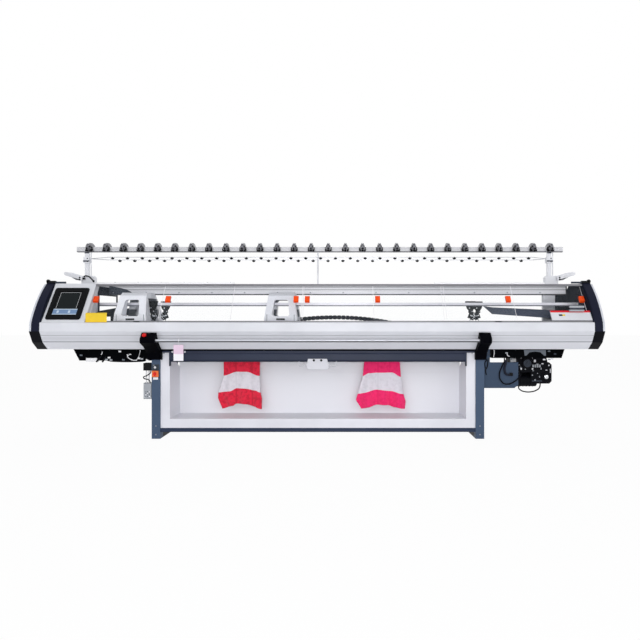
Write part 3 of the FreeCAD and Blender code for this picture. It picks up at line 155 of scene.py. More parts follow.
# Finishes: display colour, roughness span, grain size and bump depth. Each zone is a colour for the points
# between its limits, most of them painted light and shade; on names the CAD nodes that wear it.
looks = {
    # coverGrey zones: painted shade in the dark lines at the cover's folds and on the facet between them, a painted
    # shadow under the start rod, and the lower facet painted lighter
    "coverGrey": look((213, 214, 220), (0.38, 0.5), 900, 0.04, on="front_cover rear_cover",
        zones=(({"Z": (0.965, 0.974)}, (184, 185, 190)), ({"Z": (0.93, 0.955)}, (204, 205, 211)),
        ({"Z": (0.9055, 0.917)}, (170, 171, 177)), ({"Z": (None, 0.9055)}, (228, 229, 235)))),
    "housingGrey": look((214, 215, 220), (0.36, 0.48), 900, 0.04, on="control_housing right_end_box"),
    # endNavy zone: the lower part, which faces down, painted darker as shade
    "endNavy": look((24, 27, 44), (0.4, 0.52), 800, 0.05, spec=0.08, on="left_end_cover right_end_cover",
        zones=(({"Z": (None, 1.007)}, (6, 7, 14)),)),
    "wallNavy": look((26, 30, 42), (0.5, 0.62), 800, 0.05, spec=0.03,
        on="left_end_wall right_end_wall left_partition"),
    "panelGrey": look((205, 208, 216), (0.4, 0.5), 800, 0.04, on="side_panels"),
    # legBlue zone: the foot bar behind the front post, low down, painted near black as shade
    "legBlue": look((73, 89, 112), (0.42, 0.54), 700, 0.06, spec=0.1, on="left_side_frame right_side_frame",
        zones=(({"Y": (-0.146, None), "Z": (None, 0.061)}, (3, 3, 7)),)),
    "troughBlue": look((78, 86, 106), (0.42, 0.54), 700, 0.06, spec=0.15, on="drive_sheets",
        zones=(({"Z": (None, 1.0)}, (56, 71, 92)), ({"X": (None, 0.0)}, (58, 62, 76)))),
    "railNavy": look((44, 54, 76), (0.36, 0.48), 700, 0.04, spec=0.15, on="bottom_cross_rail"),
    # barNavy zone: the bar's lower edge painted darker as shade
    "barNavy": look((46, 52, 70), (0.36, 0.48), 700, 0.04, spec=0.15, on="roller_cover_bar",
        zones=(({"Z": (None, 0.739)}, (30, 36, 54)),)),
    # boxWhite zone: the inside of the box painted lighter than its front flange, as painted light against the shade
    # in the deep box
    "boxWhite": look((224, 224, 231), (0.42, 0.55), 900, 0.03, on="fabric_box",
        zones=(({"Y": (-0.2185, None)}, (235, 235, 241)),)),
    "latchGrey": look((206, 206, 213), (0.42, 0.55), 900, 0.03),
    "castDark": look((30, 33, 42), (0.55, 0.75), 260, 0.18, spec=0.1, on="front_base_beam rear_base_beam"),
    "bedSteel": look((150, 153, 162), (0.28, 0.42), 500, 0.08, metal=0.9, stretch=(60, 1, 1), comb=0.0055,
        on="front_needle_bed rear_needle_bed"),
    "camSteel": look((140, 143, 152), (0.26, 0.4), 400, 0.05, metal=0.85,
        on="left_carriage_cams right_carriage_cams"),
    # groundSteel zone: the start rod's lower half painted dark as shade
    "groundSteel": look((186, 188, 195), (0.24, 0.38), 300, 0.04, metal=0.7, stretch=(1, 60, 60),
        on="carriage_rails start_rod", zones=(({"Y": (None, -0.42), "Z": (None, 0.9245)}, (104, 105, 110)),)),
    # beamSilver zones: the top band painted lighter as a highlight, the groove lines painted darker as shade, a
    # black band just under the beam painted as its shadow, and the uprights painted darker as shade
    "beamSilver": look((216, 216, 221), (0.34, 0.46), 300, 0.04, metal=0.1, stretch=(1, 40, 40), on="top_beam",
        zones=(({"Z": (1.4445, None)}, (252, 252, 254)), ({"Z": (1.4246, 1.4445)}, (178, 178, 183)),
        ({"Z": (1.404, 1.4146)}, (164, 165, 170)), ({"Z": (1.352, 1.3665)}, (30, 31, 36)),
        ({"Z": (None, 1.352)}, (190, 191, 197)))),
    "barSilver": look((196, 196, 200), (0.34, 0.46), 300, 0.04, metal=0.2, stretch=(1, 40, 40),
        on="yarn_stand_bar cover_tracks", zones=(({"Z": (None, 1.797)}, (112, 112, 117)),)),
    "yarnRailSilver": look((222, 222, 230), (0.3, 0.42), 300, 0.03, metal=0.1, stretch=(1, 40, 40), on="yarn_rails",
        zones=(({"Z": (None, 1.252)}, (104, 106, 116)),)),
    "satinSilver": look((205, 206, 212), (0.28, 0.4), 500, 0.03, metal=0.55,
        on="eyelet_rails idler_pulley drive_pulley"),
    "standWhite": look((216, 217, 222), (0.34, 0.46), 500, 0.03, metal=0.2,
        on="yarn_stand_posts left_tensioner_arm right_tensioner_arm"),
    "chrome": look((214, 216, 220), (0.1, 0.2), 300, 0.01, metal=1.0),
    "zincGrey": look((112, 112, 118), (0.36, 0.55), 260, 0.16, metal=0.4, on="yarn_tensioners"),
    "blackPlastic": look((13, 14, 18), (0.4, 0.55), 900, 0.06, spec=0.1),
    "bracketBlack": look((3, 3, 7), (0.46, 0.6), 900, 0.06, spec=0.02,
        on="yarn_carrier_1 yarn_carrier_2 yarn_carrier_3 yarn_carrier_4 rod_brackets"),
    "glossBlack": look((4, 5, 9), (0.22, 0.32), 500, 0.01, spec=0.08, on="touch_screen"),
    "screenGlass": look((17, 23, 26), (0.16, 0.24), 400, 0.0, spec=0.1),
    "screenBlue": look((116, 142, 178), (0.2, 0.3), 400, 0.0, spec=0.1),
    "screenPale": look((190, 206, 222), (0.2, 0.3), 400, 0.0, spec=0.1),
    "slateGrey": look((60, 66, 76), (0.4, 0.52), 700, 0.05, spec=0.1),
    "bracketGrey": look((98, 104, 112), (0.42, 0.55), 600, 0.05, spec=0.15),
    "motorDark": look((11, 12, 18), (0.44, 0.6), 500, 0.1, spec=0.06, on="servo_motor roller_brackets"),
    "trayDark": look((2, 3, 5), (0.5, 0.64), 500, 0.08, spec=0.02, on="under_trays"),
    "chainBlack": look((28, 30, 42), (0.42, 0.56), 900, 0.06, spec=0.1, on="cable_chain"),
    "rubberBlack": look((18, 19, 23), (0.62, 0.8), 1200, 0.12, spec=0.06,
        on="drive_belt front_takedown_roller rear_takedown_roller"),
    # carriageGrey zones: the left carriage painted lighter, as painted light against the shade of the covers over
    # it; the upper dark patch on the inner back wall is painted shade inside the carriage, and the lower patch
    # darkens that wall low down
    "carriageGrey": look((219, 220, 227), (0.34, 0.46), 900, 0.04, on="left_carriage_cover right_carriage_cover",
        zones=(({"X": (None, -1.0), "Y": (None, 0.0)}, (236, 237, 243)),
        ({"Y": (0.1, 0.176), "Z": (1.14, 1.212)}, (58, 63, 75)),
        ({"Y": (0.1, 0.176), "Z": (1.262, 1.316)}, (72, 76, 86)))),
    "signalRed": look((214, 30, 28), (0.26, 0.36), 700, 0.02, spec=0.3, on="emergency_button main_switch_knob"),
    "edgeRed": look((214, 38, 48), (0.3, 0.4), 700, 0.02, spec=0.2, on="left_knitted_panel right_knitted_panel"),
    "gripOrange": look((242, 78, 20), (0.36, 0.48), 700, 0.04, spec=0.2),
    "switchOrange": look((232, 116, 62), (0.36, 0.46), 700, 0.04, spec=0.3),
    "plateYellow": look((234, 199, 52), (0.3, 0.42), 700, 0.02, spec=0.2),
    "boxGrey": look((160, 164, 170), (0.45, 0.6), 400, 0.08),
    "tagWhite": look((238, 236, 240), (0.5, 0.6), 400, 0.02),
    "tagPink": look((226, 200, 220), (0.5, 0.6), 400, 0.02),
    "cableWhite": look((232, 232, 234), (0.4, 0.5), 400, 0.02),
    "switchPlate": look((60, 68, 76), (0.42, 0.55), 600, 0.05, spec=0.12, on="switch_box",
        zones=(({"X": (None, -1.5505), "Z": (None, 0.6)}, (158, 163, 169)),
        ({"X": (None, -1.5505), "Z": (0.6, None)}, (7, 8, 11)))),
    "clearSheet": look((228, 238, 244), (0.05, 0.09), 60, 0.0, spec=0.08, alpha=0.016,
        on="sliding_cover_1 sliding_cover_2 sliding_cover_3 sliding_cover_4 sliding_cover_5"),
}
finishes = {}


def linear(rgb):
    return tuple(v / 255 / 12.92 if v <= 10 else ((v / 255 + 0.055) / 1.055) ** 2.4 for v in rgb) + (1.0,)


def mixColours(tree, share, first, second):
    # the colour sockets of the mix node come seventh and eighth, its colour output third
    return addNode(tree, "Mix", {0: share, 6: first, 7: second}, data_type="RGBA")[2]


def noiseNode(tree, vector, scale, detail):
    return addNode(tree, "TexNoise", {"Scale": scale, "Detail": detail, "Vector": vector})["Fac"]


def splitNode(tree, vector):
    return addNode(tree, "SeparateXYZ", {0: vector})


def rampNode(tree, share, *stops):
    # each stop is a position and a colour
    ramp = tree.nodes.new("ShaderNodeValToRGB")
    for element, (position, colour) in zip(ramp.color_ramp.elements, stops):
        element.position, element.color = position, colour
    tree.links.new(share, ramp.inputs[0])
    return ramp.outputs["Color"]


def bumpNode(tree, height, strength, distance):
    return addNode(tree, "Bump", {"Strength": strength, "Distance": distance, "Height": height})[0]


def insideLimits(tree, split, limits):
    # 1 where the point lies between the limits of every axis named
    share = None
    for axis, edges in limits.items():
        for operation, edge in zip(("GREATER_THAN", "LESS_THAN"), edges):
            if edge is not None:
                test = mathNode(tree, operation, split[axis], edge)
                share = test if share is None else mathNode(tree, "MULTIPLY", share, test)
    return share


def newMaterial(name):
    mat = bpy.data.materials.new(name)
    mat.use_nodes = True
    return mat, mat.node_tree


def fillShader(tree, values):
    for label, value in values.items():
        fillSocket(tree, tree.nodes["Principled BSDF"].inputs[label], value)


def makeFinish(name):
    given = looks[name]
    mat, tree = newMaterial(name)
    coords = addNode(tree, "TexCoord")["Object"]
    stretch = given.get("stretch", (1, 1, 1))
    place = addNode(tree, "Mapping", {"Scale": stretch, "Vector": coords})[0]
    base = linear(given["colour"])[:3]
    colour = rampNode(tree, noiseNode(tree, place, 3.2, 3), (0.3, tuple(c * 0.94 for c in base) + (1,)),
                      (0.7, tuple(min(1, c * 1.05) for c in base) + (1,)))
    if "zones" in given:
        split = splitNode(tree, coords)
        # each zone lays its colour over the finish; most zones are painted light and shade
        for limits, shade in given["zones"]:
            colour = mixColours(tree, insideLimits(tree, split, limits), colour, linear(shade))
    height = grain = noiseNode(tree, place, given["grain"] / max(stretch), 2)
    smear = noiseNode(tree, place, 9.0, 3)
    uneven = mathNode(tree, "MULTIPLY", mathNode(tree, "ADD", grain, smear), 0.5)
    gloss = addNode(tree, "MapRange", {"Value": uneven, "To Min": given["rough"][0], "To Max": given["rough"][1]})
    if "comb" in given:                         # needle tricks across the bed
        turn = mathNode(tree, "MULTIPLY", splitNode(tree, coords)["X"], 2 * math.pi / given["comb"])
        height = mathNode(tree, "ADD", mathNode(tree, "MULTIPLY", mathNode(tree, "SINE", turn), 1.5), grain)
    fillShader(tree, {"Base Color": colour, "Roughness": gloss[0], "Metallic": given.get("metal", 0.0),
                      "Specular IOR Level": given.get("spec", 0.5), "Alpha": given.get("alpha", 1.0)})
    if given["bump"]:
        fillShader(tree, {"Normal": bumpNode(tree, height, given["bump"], 0.0006)})
    return mat


def finish(name):
    if name not in finishes:
        finishes[name] = makeFinish(name)
    return finishes[name]


for finishName, given in looks.items():
    for node in given.get("on", "").split():
        cadNodes[node].data.materials.clear()
        cadNodes[node].data.materials.append(finish(finishName))
print("CAD pieces dressed")


# A part is its points, its faces and its finish's name; a piece is made from a list of parts.
def prism(axis, outline, near, far, coat):
    # the outline gives the other two coordinates and is drawn out along the axis
    count = len(outline)
    points = [p[:axis] + (depth,) + p[axis:] for depth in (near, far) for p in outline]
    faces = [tuple(range(count)), tuple(range(2 * count - 1, count - 1, -1))]
    faces += [(i, (i + 1) % count, (i + 1) % count + count, i + count) for i in range(count)]
    return points, faces, coat


def block(x, y, z, coat):
    return prism(2, [(x[0], y[0]), (x[1], y[0]), (x[1], y[1]), (x[0], y[1])], z[0], z[1], coat)


def span(middle, half):
    return middle - half, middle + half


def sideSpan(side, near, far):
    return sorted((side * near, side * far))


def loft(rings, coat):
    sides = len(rings[0])
    points = [tuple(p) for ring in rings for p in ring]
    last = (len(rings) - 1) * sides
    faces = [tuple(range(sides))[::-1], tuple(range(last, last + sides))]
    for r in range(0, last, sides):
        for i in range(sides):
            j = (i + 1) % sides
            faces.append((r + i, r + j, r + sides + j, r + sides + i))
    return points, faces, coat


def ringAround(centre, side, up, radius, sides):
    turns = [2 * math.pi * i / sides for i in range(sides)]
    return [centre + side * (radius * math.cos(t)) + up * (radius * math.sin(t)) for t in turns]


def turned(start, way, profile, coat, sides=20):
    # profile holds (distance along the axis, radius)
    way = Vector(way).normalized()
    side = way.orthogonal().normalized()
    up = way.cross(side)
    return loft([ringAround(Vector(start) + way * along, side, up, radius, sides) for along, radius in profile],
                coat)


def stud(place, profile, coat, sides=12):
    # a turned part that points to the front
    return turned(place, (0, -1, 0), profile, coat, sides)


def tube(path, radius, coat, sides=8):
    path = [Vector(p) for p in path]
    side = (path[1] - path[0]).orthogonal().normalized()
    rings = []
    for i, point in enumerate(path):
        ahead = (path[min(i + 1, len(path) - 1)] - path[max(i - 1, 0)]).normalized()
        side = (side - ahead * side.dot(ahead)).normalized()
        rings.append(ringAround(point, side, ahead.cross(side), radius, sides))
    return loft(rings, coat)


def hose(points, radius, coat, sides=8, steps=8):
    # a tube along a smooth curve through the points
    points = [Vector(p) for p in points]
    ends = [points[0]] + points + [points[-1]]
    path = []
    for a, b, c, d in zip(ends, ends[1:], ends[2:], ends[3:]):
        for t in (i / steps for i in range(steps)):
            path.append(0.5 * (2 * b + (c - a) * t + (2 * a - 5 * b + 4 * c - d) * t * t
                               + (3 * b - a - 3 * c + d) * t ** 3))
    return tube(path + [points[-1]], radius, coat, sides)


def makeMesh(name, parts):
    points, faces, marks, coats = [], [], [], []
    for partPoints, partFaces, coat in parts:
        if coat not in coats:
            coats.append(coat)
        faces += [tuple(len(points) + i for i in face) for face in partFaces]
        marks += [coats.index(coat)] * len(partFaces)
        points += partPoints
    mesh = bpy.data.meshes.new(name)
    mesh.from_pydata(points, [], faces)
    for coat in coats:
        mesh.materials.append(finish(coat))
    mesh.polygons.foreach_set("material_index", marks)
    work = bmesh.new()
    work.from_mesh(mesh)
    bmesh.ops.recalc_face_normals(work, faces=work.faces)
    work.to_mesh(mesh)
    work.free()
    mesh.polygons.foreach_set("use_smooth", [True] * len(mesh.polygons))
    mesh.set_sharp_from_angle(angle=math.radians(34))
    return mesh


def makePiece(name, parts, body="machine", bevel=0.0, segments=2):
    piece = addObject(name, makeMesh(name, parts))
    if bevel:
        edge = piece.modifiers.new("softEdges", "BEVEL")
        edge.width = bevel
        edge.segments = segments
        edge.limit_method = "ANGLE"
        edge.angle_limit = math.radians(40)
    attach(piece, body)


def makeRepeatTree():
    # Geometry Nodes: one unit at even steps along a path, its X axis along the path
    tree = bpy.data.node_groups.new("repeatOnPath", "GeometryNodeTree")
    for label, kind in (("Path", "Object"), ("Unit", "Object"), ("Count", "Int"), ("Material", "Material")):
        tree.interface.new_socket(label, in_out="INPUT", socket_type="NodeSocket" + kind)
    tree.interface.new_socket("Geometry", in_out="OUTPUT", socket_type="NodeSocketGeometry")
    kinds = {"asked": "NodeGroupInput", "given": "NodeGroupOutput", "path": "GeometryNodeObjectInfo",
             "unit": "GeometryNodeObjectInfo", "points": "GeometryNodeCurveToPoints",
             "align": "FunctionNodeAlignRotationToVector", "spread": "GeometryNodeInstanceOnPoints",
             "realize": "GeometryNodeRealizeInstances", "paint": "GeometryNodeSetMaterial"}
    nodes = {key: tree.nodes.new(kind) for key, kind in kinds.items()}
    nodes["points"].mode = "COUNT"
    nodes["align"].axis, nodes["align"].pivot_axis = "X", "Y"
    for start, output, end, entry in (
            ("asked", "Path", "path", "Object"), ("asked", "Unit", "unit", "Object"),
            ("path", "Geometry", "points", "Curve"), ("asked", "Count", "points", "Count"),
            ("points", "Tangent", "align", "Vector"), ("points", "Points", "spread", "Points"),
            ("unit", "Geometry", "spread", "Instance"), ("align", "Rotation", "spread", "Rotation"),
            ("spread", "Instances", "realize", "Geometry"), ("realize", "Geometry", "paint", "Geometry"),
            ("asked", "Material", "paint", "Material"), ("paint", "Geometry", "given", "Geometry")):
        tree.links.new(nodes[start].outputs[output], nodes[end].inputs[entry])
    return tree


repeatTree = makeRepeatTree()


def makeRow(name, parts, path, count, body="machine"):
    # the unit is drawn about the origin; path holds the row's points
    curve = bpy.data.curves.new(name + "Path", "CURVE")
    curve.dimensions = "3D"
    spline = curve.splines.new("POLY")
    spline.points.add(len(path) - 1)
    for point, place in zip(spline.points, path):
        point.co = tuple(place) + (1,)
    unit = addObject(name + "Unit", makeMesh(name + "Unit", parts))
    way = addObject(name + "Path", curve)
    row = addObject(name, bpy.data.meshes.new(name + "Host"))
    repeat = row.modifiers.new("repeat", "NODES")
    repeat.node_group = repeatTree
    values = {"Path": way, "Unit": unit, "Count": count, "Material": finish(parts[0][2])}
    for socket in repeatTree.interface.items_tree:
        if socket.in_out == "INPUT":
            repeat[socket.identifier] = values[socket.name]
    bpy.context.view_layer.update()
    mesh = bpy.data.meshes.new_from_object(row.evaluated_get(bpy.context.evaluated_depsgraph_get()))
    row.modifiers.remove(repeat)
    row.data = mesh
    mesh.name = name
    for item in (unit, way):
        bpy.data.objects.remove(item)
    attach(row, body)
    return row


# Knitted panels: lines across each panel from the needles down, as (x, z). The cloth between two lines has so many
# rows and one colour.
knit = {"columns": 60, "thickness": 0.003, "middleY": 0.02, "wale": 0.0042, "course": 0.0034,
        "swing": ((0.238, 0.02), (0.405, 0.013), (0.571, 0.006), (0.705, 0.0), (1.08, 0.0)), "folds": 3,
        "wrinkle": 0.0016, "stripes": (0, 0, 1, 0, 0), "widthRow": -6}
leftPanel = {
    "phase": 0.0, "colour": (246, 44, 74), "dark": (150, 12, 34), "pale": (234, 230, 237),
    "seams": (-0.811, -0.655), "rows": (20, 12, 12, 5, 9),
    "lines": [[(-0.92, 1.078), (-0.6, 1.078)], [(-0.931, 0.705), (-0.578, 0.705)],
              [(-0.931, 0.565), (-0.801, 0.602), (-0.714, 0.602), (-0.579, 0.562)],
              [(-0.983, 0.4), (-0.874, 0.412), (-0.801, 0.441), (-0.753, 0.441), (-0.626, 0.421),
               (-0.572, 0.4)],
              [(-0.986, 0.345), (-0.9, 0.352), (-0.78, 0.374), (-0.7, 0.366), (-0.558, 0.342)],
              [(-0.943, 0.243), (-0.84, 0.272), (-0.811, 0.29), (-0.714, 0.288), (-0.636, 0.262),
               (-0.56, 0.238)]]}
rightPanel = {
    "phase": 0.9, "colour": (255, 48, 118), "dark": (226, 24, 88), "pale": (234, 230, 238),
    "seams": (0.574, 0.69), "rows": (20, 12, 12, 5, 8),
    "lines": [[(0.45, 1.078), (0.77, 1.078)], [(0.44, 0.705), (0.786, 0.705)],
              [(0.426, 0.561), (0.486, 0.589), (0.574, 0.593), (0.71, 0.595), (0.798, 0.553)],
              [(0.377, 0.387), (0.574, 0.427), (0.701, 0.413), (0.823, 0.384)],
              [(0.359, 0.326), (0.574, 0.352), (0.701, 0.346), (0.845, 0.312)],
              [(0.413, 0.241), (0.574, 0.279), (0.662, 0.278), (0.74, 0.255), (0.838, 0.24)]]}


def valueAt(pairs, key, ease=lambda t: t):
    for (a, first), (b, second) in zip(pairs, pairs[1:]):
        if key <= b + 1e-9:
            return first + (second - first) * ease(max(0.0, (key - a) / (b - a)))
    return pairs[-1][1]


def smoothStep(t):
    return t * t * (3 - 2 * t)


def makeKnitLook(name, colour, dark, seams):
    # stitches from the panel's own UV map, in metres: U along the courses, V along the wales
    mat, tree = newMaterial(name)

    def run(operation, *values):
        return mathNode(tree, operation, *values)

    coords = addNode(tree, "TexCoord")
    split = splitNode(tree, coords["UV"])
    across = run("FRACT", run("DIVIDE", split["X"], knit["wale"]))
    fromMiddle = run("ABSOLUTE", run("SUBTRACT", across, 0.5))
    slanted = run("ADD", run("DIVIDE", split["Y"], knit["course"]), run("MULTIPLY", fromMiddle, 1.1))
    loop = run("ABSOLUTE", run("SUBTRACT", run("FRACT", slanted), 0.5))
    ridge, groove = (run("SUBTRACT", 1.0, run("MULTIPLY", part, 2.0)) for part in (loop, fromMiddle))
    stitch = run("MULTIPLY", ridge, groove)
    patch = rampNode(tree, noiseNode(tree, coords["Object"], 34.0, 4), (0.36, (1, 1, 1, 1)), (0.62, (0, 0, 0, 1)))
    shade = run("MULTIPLY", patch, 0.5)
    place = splitNode(tree, coords["Object"])
    for seam in seams:
        near = run("LESS_THAN", run("ABSOLUTE", run("SUBTRACT", place["X"], seam)), 0.005)
        shade = run("MAXIMUM", shade, run("MULTIPLY", near, 0.55))
    # darker where the loops dip, painted shade between the stitches
    shade = run("MAXIMUM", shade, run("MULTIPLY", run("SUBTRACT", 1.0, stitch), 0.2))
    fillShader(tree, {"Base Color": mixColours(tree, shade, linear(colour), linear(dark)), "Roughness": 0.9,
                      "Specular IOR Level": 0.2, "Sheen Weight": 0.15, "Sheen Roughness": 0.6,
                      "Normal": bumpNode(tree, stitch, 0.5, 0.0012)})
    return mat


def makePanel(name, panel, node):
    columns = knit["columns"]
    stride = columns + 1
    rows = [(i, step / count) for i, count in enumerate(panel["rows"]) for step in range(count)]
    marks = [knit["stripes"][i] for i, share in rows]
    rows.append((len(panel["rows"]) - 1, 1.0))
    points, uvs = [], []
    for i, share in rows:
        upper, lower = panel["lines"][i:i + 2]
        reach = 0.0
        for c in range(stride):
            u = c / columns
            xUp, xLow = (line[0][0] + (line[-1][0] - line[0][0]) * u for line in (upper, lower))
            x = xUp + (xLow - xUp) * share
            zUp, zLow = valueAt(upper, xUp, smoothStep), valueAt(lower, xLow, smoothStep)
            z = zUp + (zLow - zUp) * share
            swing = valueAt(knit["swing"], z)
            y = knit["middleY"] + swing * math.sin(2 * math.pi * knit["folds"] * u + panel["phase"])
            crease = min(1.0, swing / 0.006) * knit["wrinkle"]
            y += crease * (math.sin(61 * x + 43 * z) + 0.7 * math.sin(97 * z - 38 * x + 1.3))
            points.append(Vector((x, y, z)))
            if c:
                reach += (points[-1] - points[-2]).length
            uvs.append((reach, z))
    faces = []
    for r in range(len(marks)):
        for a in range(r * stride, r * stride + columns):
            faces.append((a, a + stride, a + stride + 1, a + 1))
    mesh = bpy.data.meshes.new(name)
    mesh.from_pydata(points, [], faces)
    mesh.materials.append(makeKnitLook(name + "Knit", panel["colour"], panel["dark"], panel["seams"]))
    mesh.materials.append(makeKnitLook(name + "Pale", panel["pale"], tuple(v - 26 for v in panel["pale"]),
                                       panel["seams"][:1]))
    mesh.polygons.foreach_set("material_index", [mark for mark in marks for c in range(columns)])
    mesh.polygons.foreach_set("use_smooth", [True] * len(mesh.polygons))
    layer = mesh.uv_layers.new(name="stitches")
    for loop in mesh.loops:
        layer.data[loop.index].uv = uvs[loop.vertex_index]
    piece = addObject(name, mesh)
    wall = piece.modifiers.new("clothThickness", "SOLIDIFY")
    wall.thickness = knit["thickness"]
    wall.offset = 0.0
    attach(piece, "machine")
    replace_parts(piece, node)


makePanel("leftPanel", leftPanel, "left_knitted_panel")
makePanel("rightPanel", rightPanel, "right_knitted_panel")

# Tension units along the yarn stand's bar; heights of their clips are above its low edge.
tension = {"count": 28, "reach": 2.305, "y": 0.195, "barLow": 1.787, "barHigh": 1.839, "width": 0.04,
           "lidTop": 1.879, "discRadius": 0.0105, "knobRadius": 0.0105,
           "clips": (((0.016, 0.031), (-0.06, -0.034), (0.004, 0.022)),
                     ((0.012, 0.0215), (-0.066, -0.016), (0.044, 0.058)),
                     ((0.012, 0.0225), (0.02, 0.064), (0.02, 0.034)),
                     ((0.018, 0.035), (-0.046, -0.024), (0.014, 0.026)),
                     ((0.026, 0.033), (-0.042, -0.03), (0.024, 0.046)))}


def makeTension():
    base, high, top, half = (tension[key] for key in ("barLow", "barHigh", "lidTop", "width"))
    half /= 2
    low = base + 0.01
    rise = [(0.078, low), (0.088, low + 0.004), (0.092, low + 0.012), (0.092, low + 0.04),
            (0.074, low + 0.062), (0.044, top - 0.006), (0.016, top)]
    outline = ([(-0.019, high), (0.019, high), (0.019, low)] + rise + [(-y, z) for y, z in rise[::-1]]
               + [(-0.019, low)])
    bodies = [prism(0, [(y * 0.98, z) for y, z in outline], -half * 0.62, half * 0.62, "zincGrey")]
    cheek = [(-0.074, low + 0.006), (0.074, low + 0.006), (0.07, low + 0.032), (0.036, top - 0.02),
             (-0.036, top - 0.02), (-0.07, low + 0.032)]
    discs, knobs = [], []
    for side in (-1, 1):
        bodies.append(prism(0, cheek, side * half * 0.6, side * half, "zincGrey"))
        r = tension["discRadius"]
        discs += [turned((0, side * y, base + 0.03), (0, side, 0), [(0, 0.004), (0.0006, r), (0.0014, r),
                         (0.003, 0.006)], "satinSilver", 16) for y in (0.084, 0.089)]
        r = tension["knobRadius"]
        knobs.append(turned((0, side * 0.0855, base + 0.03), (0, side, 0), [(0, 0.006), (0.003, r),
                            (0.0075, r), (0.0092, 0.006)], "blackPlastic", 12))
        knobs += [block(sideSpan(side, *x), y, (base + z[0], base + z[1]), "blackPlastic")
                  for x, y, z in tension["clips"]]
        knobs.append(block((-0.008, 0.008), sideSpan(side, 0.05, 0.072), (base + 0.066, base + 0.0755),
                           "blackPlastic"))
    discs.append(turned((0, -0.048, top - 0.02), (0, -0.6, 1), [(0, 0.008), (0.012, 0.007), (0.014, 0.005)],
                        "satinSilver", 12))
    knobs.append(turned((0, -0.078, base + 0.012), (0, -1, -0.3), [(0, 0.011), (0.01, 0.012), (0.016, 0.009)],
                        "blackPlastic", 12))
    ends = [(side * tension["reach"], tension["y"], 0.0) for side in (-1, 1)]
    for name, parts, slot in (("tensionBodies", bodies, "tensioner_grey"), ("tensionDiscs", discs, "aluminium"),
                              ("tensionKnobs", knobs, "black_plastic")):
        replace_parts(makeRow(name, parts, ends, tension["count"]), "yarn_tensioners")


makeTension()
print("tension units set")

# Yarn eyelets under the two rails: each row's height, count and reach.
eyelets = {"y": 0.365, "rows": ((1.75, 29, 2.152), (1.723, 28, 2.076)), "width": 0.037, "drop": 0.019}


def makeEyelets():
    half, drop = eyelets["width"] / 2, eyelets["drop"]
    arc = [(half * math.cos(t), -drop * math.sin(t)) for t in [math.pi * i / 8 for i in range(9)]]
    eyelet = [prism(1, arc[::-1], -0.0042, 0.0042, "blackPlastic"),
              block((-0.005, 0.005), (-0.0055, 0.0055), (-0.002, 0.007), "blackPlastic")]
    for i, (z, count, reach) in enumerate(eyelets["rows"]):
        path = [(side * reach, eyelets["y"], z) for side in (-1, 1)]
        makeRow("eyeletRow%d" % (i + 1), eyelet, path, count)


makeEyelets()

# Grips on the clear covers and trims on the panes' ends: distances along a pane from its foot and out from it.
panes = {"footY": -0.372, "footZ": 1.09524, "trackStep": 0.042, "slopeY": 0.58789, "slopeZ": 0.80894,
         "width": 1.309, "lefts": (-2.109, -1.4545, -0.14, 0.5145, 1.189), "tracks": (1, 0, 1, 0, 1),
         "insets": ((0.024,), (0.058, -0.058), (0.038,), (0.042, -0.051), (-0.024,)),
         "gripMiddle": 0.2494, "gripHalf": 0.034, "gripHalfWidth": 0.023, "gripRise": 0.0235,
         "trim": (0.026, 0.412), "trimWidth": 0.0035}


def paneBar(track, x, outline, coat):
    points = [(panes["footY"] + panes["trackStep"] * track + panes["slopeY"] * along - panes["slopeZ"] * out,
               panes["footZ"] + panes["slopeZ"] * along + panes["slopeY"] * out) for along, out in outline]
    return prism(0, points, x[0], x[1], coat)


def paneStrip(track, x, along, out, coat):
    return paneBar(track, x, [(along[0], out[0]), (along[0], out[1]), (along[1], out[1]), (along[1], out[0])],
                   coat)


def makeCoverPieces():
    half, rise = panes["gripHalfWidth"], panes["gripRise"]
    low, high = span(panes["gripMiddle"], panes["gripHalf"])
    dishLow, dishHigh = span(panes["gripMiddle"], 0.02)
    for i, (left, track, insets) in enumerate(zip(panes["lefts"], panes["tracks"], panes["insets"])):
        right = left + panes["width"]
        cover = "sliding_cover_%d" % (i + 1)
        grips = []
        for inset in insets:
            x = left + inset if inset > 0 else right + inset
            grips.append(paneBar(track, span(x, half), [(low, -0.0002), (low + 0.005, rise), (high - 0.005, rise),
                                 (high, -0.0002)], "gripOrange"))
            grips.append(paneBar(track, span(x, half - 0.01), [
                (dishLow, rise - 0.001), (dishLow + 0.002, rise + 0.0012), (dishHigh - 0.002, rise + 0.0012),
                (dishHigh, rise - 0.001)], "gripOrange"))
        makePiece("coverGrips%d" % (i + 1), grips, cover, 0.0035, 3)
        wide = panes["trimWidth"]
        trims = [paneStrip(track, (x, x + wide), panes["trim"], (0.0, 0.0012), "tagWhite")
                 for x in (left, right - wide)]
        makePiece("coverTrims%d" % (i + 1), trims, cover)


makeCoverPieces()
print("covers finished")

# Control screen on the housing's slope: distances along the slope from its foot, and out from the screen's seat.
screen = {"middleX": -2.316, "footY": -0.391, "footZ": 1.09, "slope": math.atan2(0.365, 0.269),
          "glass": (0.078, 0.352), "glassHalf": 0.118, "seat": 0.006, "rim": 0.0022,
          "picture": (0.15, 0.336), "pictureHalf": 0.092, "band": (0.082, 0.146), "bandHalf": 0.11}


def slopePlate(x, along, out, coat):
    run, rise = math.cos(screen["slope"]), math.sin(screen["slope"])
    near, far = (screen["seat"] + edge for edge in out)
    outline = [(screen["footY"] + a * run - o * rise, screen["footZ"] + a * rise + o * run)
               for a, o in ((along[0], near), (along[0], far), (along[1], far), (along[1], near))]
    return prism(0, outline, x[0], x[1], coat)


